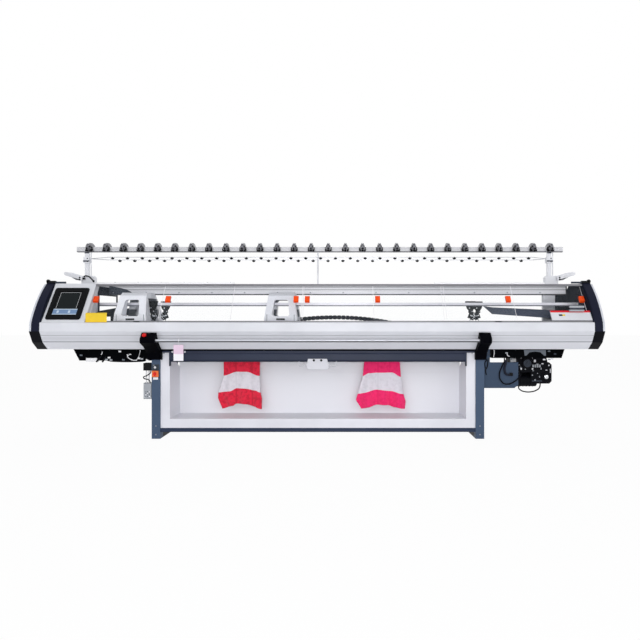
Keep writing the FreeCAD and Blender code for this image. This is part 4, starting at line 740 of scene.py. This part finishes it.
def makeScreen():
    middle, rim = screen["middleX"], screen["rim"]
    low, high = screen["picture"]
    left, right = picture = span(middle, screen["pictureHalf"])
    thin, thick, raised = (0.0004, 0.0012), (0.0004, 0.0018), (0.0008, 0.0016)
    face = [slopePlate(span(middle, screen["glassHalf"]), screen["glass"], (0.0, 0.0006), "glossBlack"),
            slopePlate(picture, (low, high), thin, "screenGlass"),
            slopePlate((left - rim, left), (low, high), thick, "chrome"),
            slopePlate((right, right + rim), (low, high), thick, "chrome"),
            slopePlate(picture, (high, high + rim), thick, "chrome")]
    band = span(middle, screen["bandHalf"])
    low, high = screen["band"]
    face.append(slopePlate(band, (low, high), thin, "screenBlue"))
    face += [slopePlate(band, (edge, edge + 0.008), raised, "screenPale") for edge in (low, high - 0.008)]
    for i in range(8):
        x = band[0] + 0.01 + i * 0.026
        face.append(slopePlate((x, x + 0.019), (low + 0.018, low + 0.046), raised,
                               "screenPale" if i % 4 == 1 else "screenBlue"))
    makePiece("screenFace", face)


makeScreen()

# Small plates, slots and knobs on the casing. The strip's parts lie along the end panel's slope and out from it.
casing = {"plateX": (-2.1, -1.907), "plateZ": (1.087, 1.176), "plateY": -0.3875,
          "slotX": (-1.638, 1.644), "slotHalf": 0.0285, "slotY": (-0.3925, -0.3842), "slotZ": (1.0902, 1.0985),
          "strip": (((2.134, 2.4995), (0.092, 0.112), (0.0158, 0.0172), "edgeRed"),
                    ((2.205, 2.238), (0.052, 0.07), (0.0158, 0.0166), "blackPlastic"),
                    ((2.238, 2.262), (0.052, 0.07), (0.0158, 0.0166), "plateYellow")),
          "sensor": (((2.306, 2.44), (-0.345, -0.322), (1.188, 1.204), "boxGrey"),
                     ((2.312, 2.434), (-0.341, -0.326), (1.204, 1.222), "slateGrey"),
                     ((2.306, 2.44), (-0.345, -0.322), (1.222, 1.24), "boxGrey")),
          "knobX": 2.575, "knobY": -0.11, "knobZ": 1.47}


def makeCasingPieces():
    y, (low, high) = casing["plateY"], casing["plateZ"]
    outline = [(y - 0.014, low + 0.003), (y - 0.014, low + 0.0045), (y - 0.0015, low + 0.0045),
               (y - 0.0015, high - 0.01), (y + 0.008, high), (y + 0.009, high - 0.001), (y, high - 0.011),
               (y, low + 0.003)]
    makePiece("sillPlate", [prism(0, outline, *casing["plateX"], "plateYellow")])
    slots = [block(span(x, casing["slotHalf"]), casing["slotY"], casing["slotZ"], "blackPlastic")
             for x in casing["slotX"]]
    makePiece("sillSlots", slots, bevel=0.0015)
    makePiece("endPanelStrip", [paneStrip(0, *part) for part in casing["strip"]])
    makePiece("endPanelSensor", [block(*part) for part in casing["sensor"]], bevel=0.002)
    knobs = []
    y = casing["knobY"]
    for side in (-1, 1):
        knobs += [stud((side * casing["knobX"], y, casing["knobZ"] + 0.008),
                       [(-0.012, 0.012), (-0.008, 0.017), (0.012, 0.017), (0.016, 0.012)], "blackPlastic", 18),
                  block(sideSpan(side, 2.41, casing["knobX"]), (y - 0.01, y + 0.012), (1.4565, 1.474), "slateGrey"),
                  block(sideSpan(side, 2.505, 2.588), (y - 0.016, y + 0.018), (1.4572, 1.482), "blackPlastic")]
    makePiece("endCoverKnobs", knobs, bevel=0.003)


makeCasingPieces()
print("casing pieces set")

# Left cable trough behind the carriage's way, on the partition; a gusset under the beam's left end.
trough = {"x": (-2.102, -1.69), "y": (0.288, 0.372), "z": (1.146, 1.214), "rise": 0.03, "wall": 0.003}


def makeLeftTrough():
    (x0, x1), (y0, y1), (low, high) = trough["x"], trough["y"], trough["z"]
    rise, wall = trough["rise"], trough["wall"]
    side = [(x0, low), (x1, low + rise), (x1, high + rise), (x0, high)]
    makePiece("leftTrough", [
        prism(1, side, y0, y0 + wall, "troughBlue"), prism(1, side, y1 - wall, y1, "troughBlue"),
        prism(1, [(x0, low), (x1, low + rise), (x1, low + rise + wall), (x0, low + wall)], y0 + wall, y1 - wall,
              "troughBlue"),
        block((x1 - wall, x1), (y0 + wall, y1 - wall), (low + rise + wall, high + rise), "troughBlue")],
        bevel=0.001)
    outline = [(-2.1015, 1.356), (-2.1015, 1.446), (-2.052, 1.44), (-1.93, 1.412), (-1.88, 1.386),
               (-1.88, 1.366), (-2.06, 1.356)]
    makePiece("beamGusset", [prism(1, outline, 0.1515, 0.1552, "slateGrey")])


makeLeftTrough()

# Yarn carriers: chunky feeder bodies on the saddles, one piece for each carrier, leaning one way or the other.
carriers = {"x": (-1.6, -1.5, 1.47, 1.56), "offsets": (-0.068, 0.022, -0.022, 0.068), "leans": (1, -1, 1, -1),
            "middleY": 0.02, "halfWidth": 0.043, "bladeFront": -0.0123}


def makeCarriers():
    half = carriers["halfWidth"]
    for i, (x, offset, lean) in enumerate(zip(carriers["x"], carriers["offsets"], carriers["leans"])):
        y = carriers["middleY"] + offset + carriers["bladeFront"]
        body = [(-half, 1.246), (-half, 1.236), (-0.034, 1.214), (-0.022, 1.203), (-0.022, 1.176), (0.024, 1.176),
                (0.024, 1.203), (0.034, 1.216), (half, 1.236), (half, 1.246)]
        arm = [(-0.005, 1.178), (0.03, 1.184), (0.044, 1.16), (0.041, 1.124), (0.024, 1.104), (-0.005, 1.112)]
        wire = ((0.03, -0.0068, 1.172), (0.036, -0.0074, 1.148), (0.022, -0.0068, 1.116))
        parts = [prism(1, [(x + dx, z) for dx, z in body], y - 0.0075, y - 0.0003, "bracketBlack"),
                 block(span(x, half - 0.002), (y - 0.01, y - 0.0003), (1.274, 1.2895), "bracketBlack"),
                 prism(1, [(x + lean * dx, z) for dx, z in arm], y - 0.0062, y - 0.0003, "bracketBlack"),
                 block(sorted((x + lean * 0.004, x + lean * 0.026)), (y - 0.0072, y - 0.0058), (1.14, 1.154),
                       "boxGrey"),
                 tube([(x + lean * dx, y + dy, z) for dx, dy, z in wire], 0.0022, "chrome", 6)]
        parts += [stud((x + dx, y + dy, z), [(0, r), (0.003, r)], "chrome") for dx, dy, z, r in (
            (-0.012, -0.007, 1.224, 0.006), (0.014, -0.007, 1.192, 0.005), (0.004, -0.004, 1.152, 0.007))]
        makePiece("carrierBody%d" % (i + 1), parts, "yarn_carrier_%d" % (i + 1), 0.0015)


makeCarriers()

# Cable chain beside the right carriage: its links follow the arc of three points.
chain = {"start": (-0.203, 1.112), "top": (0.174, 1.133), "end": (0.716, 1.078), "y": 0.195, "links": 22,
         "half": 0.0205, "depth": 0.024}


def circleThrough(a, b, c):
    (ax, az), (bx, bz), (cx, cz) = a, b, c
    d = 2 * (ax * (bz - cz) + bx * (cz - az) + cx * (az - bz))
    x = ((ax ** 2 + az ** 2) * (bz - cz) + (bx ** 2 + bz ** 2) * (cz - az) + (cx ** 2 + cz ** 2) * (az - bz)) / d
    z = ((ax ** 2 + az ** 2) * (cx - bx) + (bx ** 2 + bz ** 2) * (ax - cx) + (cx ** 2 + cz ** 2) * (bx - ax)) / d
    return x, z, math.hypot(ax - x, az - z)


def makeChain():
    cx, cz, radius = circleThrough(chain["start"], chain["top"], chain["end"])
    first, last = (math.atan2(chain[key][1] - cz, chain[key][0] - cx) for key in ("start", "end"))
    steps = chain["links"] * 2
    turns = [first + (last - first) * (i + 0.5) / steps for i in range(steps)]
    path = [(cx + radius * math.cos(t), chain["y"], cz + radius * math.sin(t)) for t in turns]
    half, depth = chain["half"], chain["depth"]
    side = [(-0.021, -half * 0.7), (-0.012, -half), (0.012, -half), (0.021, -half * 0.7), (0.021, half * 0.7),
            (0.012, half), (-0.012, half), (-0.021, half * 0.7)]
    link = [prism(1, side, y, y + 0.005, "chainBlack") for y in (-depth, depth - 0.005)]
    link += [block((-0.011, 0.011), span(0, depth - 0.004), (z, z + 0.003), "chainBlack")
             for z in (-half + 0.001, half - 0.004)]
    link.append(block((-0.019, 0.019), (-0.017, 0.017), (-0.011, 0.011), "chainBlack"))
    link += [turned((0.017, way * (depth - 0.001), 0), (0, way, 0), [(0, 0.006), (0.002, 0.005)], "chainBlack", 8)
             for way in (-1, 1)]
    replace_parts(makeRow("chainLinks", link, path, chain["links"], "right_carriage"), "cable_chain")


makeChain()

# Needles in both beds: thin shanks down the slopes with their butts, each as (near, far, rise, width).
needles = {"count": 390, "reach": 1.55, "middleY": 0.02, "halfGap": 0.006, "tipZ": 1.088,
           "bars": ((0.004, 0.15, 0.0012, 0.0014), (0.052, 0.064, 0.0024, 0.0018), (0.118, 0.13, 0.0024, 0.0018))}


def makeNeedles():
    path = [(side * needles["reach"], 0, 0) for side in (-1, 1)]
    for name, side in (("frontNeedles", -1), ("rearNeedles", 1)):
        down, out = (Vector((0, side, way)).normalized() for way in (-1, 1))
        start = Vector((0, needles["middleY"] + side * needles["halfGap"], needles["tipZ"]))
        parts = []
        for near, far, rise, wide in needles["bars"]:
            corners = [start + down * near - out * 0.0004, start + down * far - out * 0.0004,
                       start + down * far + out * rise, start + down * near + out * rise]
            parts.append(loft([[p + Vector((x, 0, 0)) for p in corners] for x in (-wide / 2, wide / 2)], "chrome"))
        makeRow(name, parts, path, needles["count"])


makeNeedles()
print("carriers, chain and needles set")

# Main switch, lock and blank plate on the left leg; rods, hose and junction box behind it.
switch = {"x": -1.514, "faceY": -0.235, "baseHalf": 0.0296, "baseZ": (0.579, 0.637), "knobZ": 0.608,
          "labelX": (-1.537, -1.491), "labelZ": (0.553, 0.575), "lockZ": 0.668,
          "rodX": (-1.612, -1.588), "rodY": -0.196, "rodZ": 0.5195, "rodLength": 0.118,
          "hose": ((-1.571, -0.196, 0.637), (-1.572, -0.205, 0.612), (-1.6, -0.222, 0.59),
                   (-1.628, -0.226, 0.578), (-1.626, -0.214, 0.56), (-1.596, -0.206, 0.552),
                   (-1.58, -0.2, 0.538), (-1.578, -0.196, 0.5195)),
          "lid": ((-1.626, -1.558), (-0.2275, -0.2245), (0.378, 0.512)),
          "lidScrewX": (-1.618, -1.566), "lidScrewZ": (0.386, 0.504)}


def makeSwitch():
    x, face, lock = switch["x"], switch["faceY"], switch["lockZ"]
    (left, right), (low, high) = span(x, switch["baseHalf"]), switch["baseZ"]
    front = face - 0.0172
    makePiece("switchBase", [
        prism(1, [(left, low), (right, low), (right, high), (left, high)], front - 0.0006, face + 0.0006,
              "switchOrange"),
        stud((x, front - 0.0003, switch["knobZ"]), [(0, 0.0236), (0.0018, 0.0228)], "switchOrange", 32)],
        bevel=0.0008)
    makePiece("switchLabel", [
        block(switch["labelX"], (face - 0.0012, face + 0.0003), switch["labelZ"], "tagWhite"),
        stud((x, face - 0.0188, lock), [(0, 0.0105), (0.0012, 0.0105), (0.0022, 0.008)], "satinSilver", 24),
        block(span(x, 0.0012), (face - 0.0216, face - 0.0206), span(lock, 0.006), "blackPlastic"),
        block((x - 0.024, x - 0.01), (face - 0.0016, face + 0.0003), (0.6855, 0.6905), "boxGrey")])
    rods = [turned((rodX, switch["rodY"], switch["rodZ"]), (0, 0, 1), [(0, 0.006), (switch["rodLength"], 0.006)],
                   "cableWhite", 12) for rodX in switch["rodX"]]
    rods.append(hose(switch["hose"], 0.005, "rubberBlack"))
    makePiece("switchRods", rods)
    lid = [block(*switch["lid"], "boxGrey")]
    lid += [stud((screwX, -0.2272, screwZ), [(0, 0.004), (0.0015, 0.0035)], "chrome", 10)
            for screwX in switch["lidScrewX"] for screwZ in switch["lidScrewZ"]]
    for i in range(12):
        x, z = -1.612 + (i % 3) * 0.0165, 0.392 + (i // 3) * 0.0145
        lid.append(block((x, x + 0.009), (-0.2283, -0.2274), (z, z + 0.0075),
                         ("bracketGrey", "tagWhite", "slateGrey")[(i * 2 + i // 3) % 3]))
    makePiece("junctionLid", lid, bevel=0.001)


makeSwitch()

# Tag hung on the start rod by a loop of string.
tag = {"x": (-1.282, -1.194), "rodY": -0.438, "rodZ": 0.925, "y": -0.4555, "z": (0.745, 0.888), "split": 0.806,
       "loopRadius": 0.0175, "string": 0.0016}


def makeTag():
    y, rodY, rodZ, (low, high), split = (tag[key] for key in ("y", "rodY", "rodZ", "z", "split"))
    middle, r = sum(tag["x"]) / 2, tag["loopRadius"]
    turns = [2 * math.pi * i / 17 for i in range(17)]
    loop = [(middle, rodY + r * math.cos(t), rodZ + r * math.sin(t)) for t in turns]
    drop = [(middle, rodY - 0.0165, rodZ - 0.006), (middle, y + 0.0006, high + 0.012),
            (middle, y + 0.0006, high - 0.006)]
    makePiece("rodTag", [
        block(tag["x"], (y, y + 0.0012), (low, split), "tagWhite"),
        block(tag["x"], (y - 0.0004, y + 0.0016), (split, high), "tagPink"),
        tube(loop + [loop[0]], tag["string"], "cableWhite", 6), tube(drop, tag["string"], "cableWhite", 6)],
        "start_rod")


makeTag()

# Latch plate in front of the box, with a bent wire and a knob on each side.
latch = {"x": -0.003, "y": -0.2462, "z": (0.65, 0.748)}


def makeLatch():
    x, y, (low, high) = latch["x"], latch["y"], latch["z"]
    outline = [(x - 0.088, high), (x - 0.106, low + 0.026), (x - 0.09, low), (x + 0.09, low),
               (x + 0.106, low + 0.026), (x + 0.088, high)]
    parts = [prism(1, outline, y, y + 0.0022, "latchGrey"),
             block(span(x, 0.08), (y + 0.002, y + 0.0262), (high - 0.02, high - 0.012), "latchGrey")]
    wire = ((0.08, 0.001, high - 0.03), (0.112, 0, low + 0.048), (0.15, -0.002, low + 0.024),
            (0.176, 0, low + 0.04), (0.172, 0.002, high - 0.022))
    for side in (-1, 1):
        parts += [hose([(x + side * dx, y + dy, z) for dx, dy, z in wire], 0.003, "satinSilver", 6),
                  stud((x + side * 0.034, y + 0.0005, high - 0.014), [(0, 0.011), (0.006, 0.011), (0.008, 0.007)],
                       "blackPlastic", 16)]
    makePiece("boxLatch", parts, bevel=0.0006)


makeLatch()


# Yarn stand: a short hose with its clamp and plug at the left post; dark caps and screws on both posts. Each cap
# is its half width, depth and height.
stand = {"hose": ((-2.352, 0.15, 1.534), (-2.336, 0.138, 1.546), (-2.3, 0.134, 1.54), (-2.268, 0.136, 1.512),
                  (-2.25, 0.142, 1.4835)),
         "hoseRadius": 0.006, "clamp": ((-2.372, -2.346), (0.146, 0.166), (1.512, 1.528)),
         "plug": (-2.262, 0.1645, 1.496), "postX": (-2.338, 2.302),
         "caps": ((0.031, (0.164, 0.1665), (1.69, 1.704)), (0.022, (0.1785, 0.1815), (1.775, 1.786))),
         "screwShift": 0.012, "screwY": 0.1665, "screwZ": (1.692, 1.722)}


def makeStandPieces():
    makePiece("standHose", [
        hose(stand["hose"], stand["hoseRadius"], "rubberBlack"), block(*stand["clamp"], "blackPlastic"),
        stud(stand["plug"], [(0, 0.01), (0.008, 0.01), (0.01, 0.007)], "blackPlastic", 16)])
    caps = []
    for x in stand["postX"]:
        caps += [block(span(x, half), y, z, "slateGrey") for half, y, z in stand["caps"]]
        caps += [stud((x + stand["screwShift"], stand["screwY"], z), [(0, 0.006), (0.005, 0.0055)],
                      "blackPlastic") for z in stand["screwZ"]]
    makePiece("standCaps", caps, bevel=0.001)


makeStandPieces()
print("switch, tag, latch and stand pieces set")

# Box and bar: a strip, black above and navy like the bar below, fills the gap under the front cover, its black
# painted shade; a sheet lines the box's back.
boxTrim = {"half": 1.468, "stripY": (-0.234, -0.2218), "stripZ": (0.8045, 0.821, 0.8376),
           "sheetHalf": 1.366, "sheetZ": (0.196, 0.59), "boltX": (-1.357, -1.24)}


def makeBoxPieces():
    x, y, (low, split, high) = span(0, boxTrim["half"]), boxTrim["stripY"], boxTrim["stripZ"]
    # the strip's black upper half is painted shade in the gap under the cover
    strip = [block(x, y, (low, split), "barNavy"), block(x, y, (split, high), "trayDark")]
    strip += [stud((boltX, y[0] + 0.0005, 0.812), [(0, 0.009), (0.004, 0.009), (0.006, 0.006)], "satinSilver", 14)
              for boltX in boxTrim["boltX"]]
    makePiece("boxTopStrip", strip)
    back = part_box("fabric_box")[1][1]
    sheet = block(span(0, boxTrim["sheetHalf"]), (back - 0.005, back - 0.002), boxTrim["sheetZ"], "boxWhite")
    makePiece("boxBackSheet", [sheet], bevel=0.001)


makeBoxPieces()

# Cables, clips and plugs on the trays under the casing, most of them on the trays' front face. The short white
# cables and the white and silver plugs stand partly for ties and clips and partly for painted highlights.
trays = {"front": -0.2, "low": 0.728,
         "leftPlugsAndGlints": ((-1.983, 0.738, "boxGrey"), (-1.96, 0.756, "cableWhite"), (-1.942, 0.734, "boxGrey"),
                       (-1.859, 0.814, "cableWhite"), (-1.68, 0.75, "cableWhite"), (-1.652, 0.744, "boxGrey"),
                       (-1.602, 0.734, "cableWhite"), (-2.222, 0.778, "bracketGrey"),
                       (-1.826, 0.736, "bracketGrey")),
         "rightPlugsAndGlints": ((1.58, 0.806, "bracketGrey"), (1.604, 0.786, "slateGrey"), (1.6, 0.746, "slateGrey"),
                        (2.166, 0.816, "bracketGrey"), (2.222, 0.79, "slateGrey"), (2.194, 0.744, "satinSilver"),
                        (2.168, 0.739, "boxGrey"), (2.12, 0.738, "satinSilver"), (1.768, 0.8, "boxGrey")),
         "leftCablesAndGlints": ((0.008, "rubberBlack", [(-2.078, 0.716), (-2.06, 0.738), (-2.032, 0.772)]),
                        (0.008, "rubberBlack", [(-2.022, 0.714), (-2.008, 0.736), (-1.986, 0.766)]),
                        (0.0042, "cableWhite", [(-2.034, 0.784), (-2.026, 0.796), (-2.024, 0.812)]),
                        (0.0042, "cableWhite", [(-1.79, 0.786), (-1.782, 0.757), (-1.744, 0.735),
                                                (-1.7, 0.731)]),
                        (0.0042, "cableWhite", [(-1.786, 0.772), (-1.766, 0.787), (-1.752, 0.786)]),
                        (0.0026, "cableWhite", [(-1.668, 0.826), (-1.676, 0.786), (-1.688, 0.752),
                                                (-1.708, 0.731)])),
         "rightCablesAndGlints": ((0.0032, "cableWhite", [(1.649, 0.832), (1.652, 0.8), (1.645, 0.76)]),
                         (0.0036, "cableWhite", [(1.772, 0.792), (1.778, 0.776), (1.794, 0.768)])),
         "sagging": ((0.014, -1.985, -1.612), (0.036, -1.9, -1.69), (0.058, -1.96, -1.64)),
         "shield": ((1.931, 0.828), (2.137, 0.828), (2.137, 0.774), (2.122, 0.774), (2.086, 0.806),
                    (2.034, 0.813), (1.984, 0.806), (1.952, 0.774), (1.938, 0.774)),
         "plateHose": ((1.762, -0.2085, 0.735), (1.757, -0.209, 0.7), (1.746, -0.2095, 0.655),
                       (1.752, -0.2095, 0.617), (1.772, -0.2095, 0.596), (1.8, -0.2095, 0.599)),
         "plateSocket": ((1.794, 1.822), (-0.2225, -0.1995), (0.586, 0.614))}


def trayHoses(rows):
    return [hose([(x, trays["front"] - radius * 0.85, z) for x, z in path], radius, coat, 7, 5)
            for radius, coat, path in rows]


def trayPlugsAndGlints(rows, half, tall):
    y = trays["front"]
    return [block(span(x, half), (y - 0.006, y + 0.001), span(z, tall), coat) for x, z, coat in rows]


def makeTrayPieces():
    y, low = trays["front"], trays["low"]
    left = [block((-2.177, -2.074), (y - 0.0015, y + 0.04), (low - 0.011, low + 0.024), "cableWhite")]
    left += trayHoses(trays["leftCablesAndGlints"]) + trayPlugsAndGlints(trays["leftPlugsAndGlints"], 0.012, 0.007)
    for shift, x0, x1 in trays["sagging"]:
        path = [(x0, y + shift, low + 0.006), (x0 + 0.05, y + shift, low - 0.004),
                ((x0 + x1) / 2, y + shift - 0.002, low - 0.008), (x1 - 0.05, y + shift, low - 0.004),
                (x1, y + shift, low + 0.006)]
        left.append(hose(path, 0.009, "rubberBlack"))
    makePiece("leftTrayCables", left)
    right = trayHoses(trays["rightCablesAndGlints"])
    right.append(prism(1, list(trays["shield"]), y - 0.0025, y + 0.0005, "bracketGrey"))
    right += trayPlugsAndGlints(trays["rightPlugsAndGlints"], 0.011, 0.006)
    makePiece("rightTrayCables", right)
    parts = [hose(trays["plateHose"], 0.0105, "chainBlack", 10), block(*trays["plateSocket"], "blackPlastic")]
    for x, z in ((1.566, 0.7), (1.574, 0.64)):
        path = [(x + dx, -0.2045, height) for dx, height in ((0.02, 0.735), (0.012, z + 0.03), (-0.004, z),
                                                             (0.004, z - 0.045))]
        parts.append(hose(path, 0.005, "rubberBlack", 7))
    makePiece("plateHoses", parts)


makeTrayPieces()

# Webs of the side tensioner arms, with their rivets and bosses.
armWeb = {"y": (0.147, 0.15), "rivets": ((2.392, 1.524), (2.436, 1.538), (2.478, 1.558)),
          "bosses": ((2.392, 1.512), (2.392, 1.53)),
          "outline": ((2.366, 1.546), (2.46, 1.577), (2.522, 1.584), (2.52, 1.572), (2.464, 1.528),
                      (2.43, 1.503), (2.366, 1.503))}


def makeArmWebs():
    near, far = armWeb["y"]
    for hand, side in (("left", -1), ("right", 1)):
        parts = [prism(1, [(side * x, z) for x, z in armWeb["outline"]], near, far, "standWhite")]
        parts += [stud((side * x, near + 0.0004, z), [(0, 0.0055), (0.0016, 0.005)], "boxGrey")
                  for x, z in armWeb["rivets"]]
        parts += [stud((side * x, near - 0.004, z), [(0, 0.0085), (0.0016, 0.0085), (0.0026, 0.006)],
                       "blackPlastic", 14) for x, z in armWeb["bosses"]]
        makePiece(hand + "ArmWeb", parts, hand + "_tensioner_arm")


makeArmWebs()
print("box, tray and arm pieces set")

# Screws in rows: each row's way out, first and last place, count and slot.
toFront, toTop = (0, -1, 0), (0, 0, 1)
screws = {"radius": 0.0065, "head": 0.0045, "rows": (
    ("beamScrews", toFront, ((-2.06, 0.155, 1.38), (2.2, 0.155, 1.38)), 14, "aluminium"),
    ("beamTopScrews", toTop, ((-2.06, 0.195, 1.4822), (-0.9, 0.195, 1.4822)), 6, "aluminium"),
    ("boxTopScrews", toFront, ((-1.44, -0.2188, 0.8), (1.44, -0.2188, 0.8)), 9, "white_sheet"),
    ("leftLegScrews", toFront, ((-1.512, -0.23, 0.12), (-1.512, -0.23, 0.04)), 2, "frame_blue"),
    ("rightLegScrews", toFront, ((1.512, -0.23, 0.12), (1.512, -0.23, 0.04)), 2, "frame_blue"))}


def makeScrews():
    r, h = screws["radius"], screws["head"]
    for name, way, path, count, slot in screws["rows"]:
        screw = [turned((0, 0, 0), way, [(-0.001, r), (h * 0.7, r), (h, r * 0.8)], "camSteel", 10),
                 turned([h * c for c in way], way, [(-0.0004, r * 0.45), (0.0003, r * 0.45)], "camSteel", 6)]
        makeRow(name, screw, path, count)


makeScrews()

# Drive cluster: the motor's face with its bolts and flange, the hub, the drum's ends and rims, plugs and clips, and
# small bright blocks painted as highlights.
motor = {"x": (1.953, 2.137), "z": (0.59, 0.774), "frontY": 0.09, "drumY": 0.15, "drumZ": 0.506,
         "hub": (2.232, 0.548), "flange": (2.045, 0.0605, 0.682),
         "sidePlate": ((1.892, 1.93), (0.129, 0.1365), (0.652, 0.74)),
         "sideSocket": ((1.898, 1.924), (0.1255, 0.1295), (0.69, 0.712)),
         "terminals": (2.1, 2.122, 2.144, 2.166), "drumEnds": ((1.89, -1), (2.15, 1)),
         "rims": 7, "rimStart": 1.925, "rimStep": 0.032,
         # small bright blocks painted as highlights: place, width and height
         "glintBlocks": ((2.15, 0.672, 0.016, 0.006), (2.199, 0.676, 0.014, 0.008), (2.262, 0.66, 0.008, 0.01),
                  (2.238, 0.613, 0.012, 0.006), (2.108, 0.608, 0.01, 0.006), (2.186, 0.628, 0.006, 0.014),
                  (2.1, 0.563, 0.008, 0.008), (2.126, 0.516, 0.012, 0.008), (2.15, 0.58, 0.006, 0.006),
                  (2.276, 0.606, 0.005, 0.03), (2.17, 0.548, 0.006, 0.01)),
         "clips": ((1.972, 0.664), (1.986, 0.64), (2.03, 0.622), (2.11, 0.64))}


def makeMotorPieces():
    (x0, x1), (low, high), y = motor["x"], motor["z"], motor["frontY"]
    parts = [block((x0 + 0.02, x1 - 0.02), (y - 0.007, y + 0.001), (low + 0.02, high - 0.02), "motorDark")]
    parts += [stud((x, y - 0.006, z), [(0, 0.01), (0.007, 0.009)], "chrome")
              for x in (x0 + 0.036, x1 - 0.036) for z in (low + 0.036, high - 0.036)]
    parts += [stud(motor["flange"], [(0, 0.04), (0.004, 0.038), (0.005, 0.016), (0.012, 0.015)], "slateGrey", 24),
              block(*motor["sidePlate"], "boxGrey"), block(*motor["sideSocket"], "cableWhite")]
    makePiece("motorFace", parts, bevel=0.0015)
    x, z = motor["hub"]
    parts = [stud((x, 0.0805, z), [(0, 0.046), (0.01, 0.045), (0.012, 0.03), (0.02, 0.029)], "motorDark", 28),
             stud((x, 0.061, z), [(0, 0.021), (0.004, 0.019), (0.006, 0.012)], "chrome", 20)]
    parts += [block((left, left + 0.015), (0.0755, 0.0808), (0.64, 0.668), "boxGrey")
              for left in motor["terminals"]]
    parts.append(block((2.094, 2.196), (0.078, 0.0808), (0.5, 0.512), "slateGrey"))
    makePiece("hubFace", parts, bevel=0.001)
    y, z = motor["drumY"], motor["drumZ"]
    parts = [turned((x, y, z), (way, 0, 0), [(-0.002, 0.052), (0.006, 0.05), (0.008, 0.03)], "slateGrey", 24)
             for x, way in motor["drumEnds"]]
    parts += [turned((motor["rimStart"] + i * motor["rimStep"], y, z), (1, 0, 0), [(0, 0.06), (0.001, 0.0625),
                     (0.008, 0.0625), (0.009, 0.06)], "motorDark", 28) for i in range(motor["rims"])]
    makePiece("drumEnds", parts)
    # the satin block on the motor's top right and the bright blocks below it are painted highlights
    parts = [block((1.916, 1.964), (0.1262, 0.13), (0.69, 0.724), "cableWhite"),
             block((2.086, 2.136), (0.083, 0.0842), (0.69, 0.716), "satinSilver")]
    parts += [block(span(x, wide * 0.7), (0.077, 0.0808), span(z, tall * 0.7),
                    "satinSilver" if x > 2.19 else "boxGrey") for x, z, wide, tall in motor["glintBlocks"]]
    parts += [block(span(x, 0.007), (0.0808, 0.0838), span(z, 0.004), "boxGrey") for x, z in motor["clips"]]
    makePiece("driveBits", parts, bevel=0.001)


makeMotorPieces()

# Carriages: edge trims, screws and the sensor blocks in front of the arches.
carriages = {"left": -1.757, "right": -0.35, "faceY": -0.2245, "trimX": 0.128, "screwX": 0.1}


def makeCarriagePieces():
    for hand in ("left", "right"):
        x, face = carriages[hand], carriages["faceY"]
        trim = [(face - 0.0017, 1.02), (face - 0.0017, 1.16), (face, 1.16), (face, 1.02)]
        parts = [prism(0, trim, *span(x + side * carriages["trimX"], 0.004), "boxGrey") for side in (-1, 1)]
        parts.append(block(span(x, 0.04), (face - 0.004, face - 0.0003), (1.108, 1.124), "blackPlastic"))
        parts += [stud((x + side * carriages["screwX"], face - 0.0003, z), [(0, 0.006), (0.003, 0.005)],
                       "camSteel") for side in (-1, 1) for z in (1.06, 1.095)]
        makePiece(hand + "CarriageTrim", parts, hand + "_carriage", bevel=0.0008)


makeCarriagePieces()
print("motor and carriage pieces set")
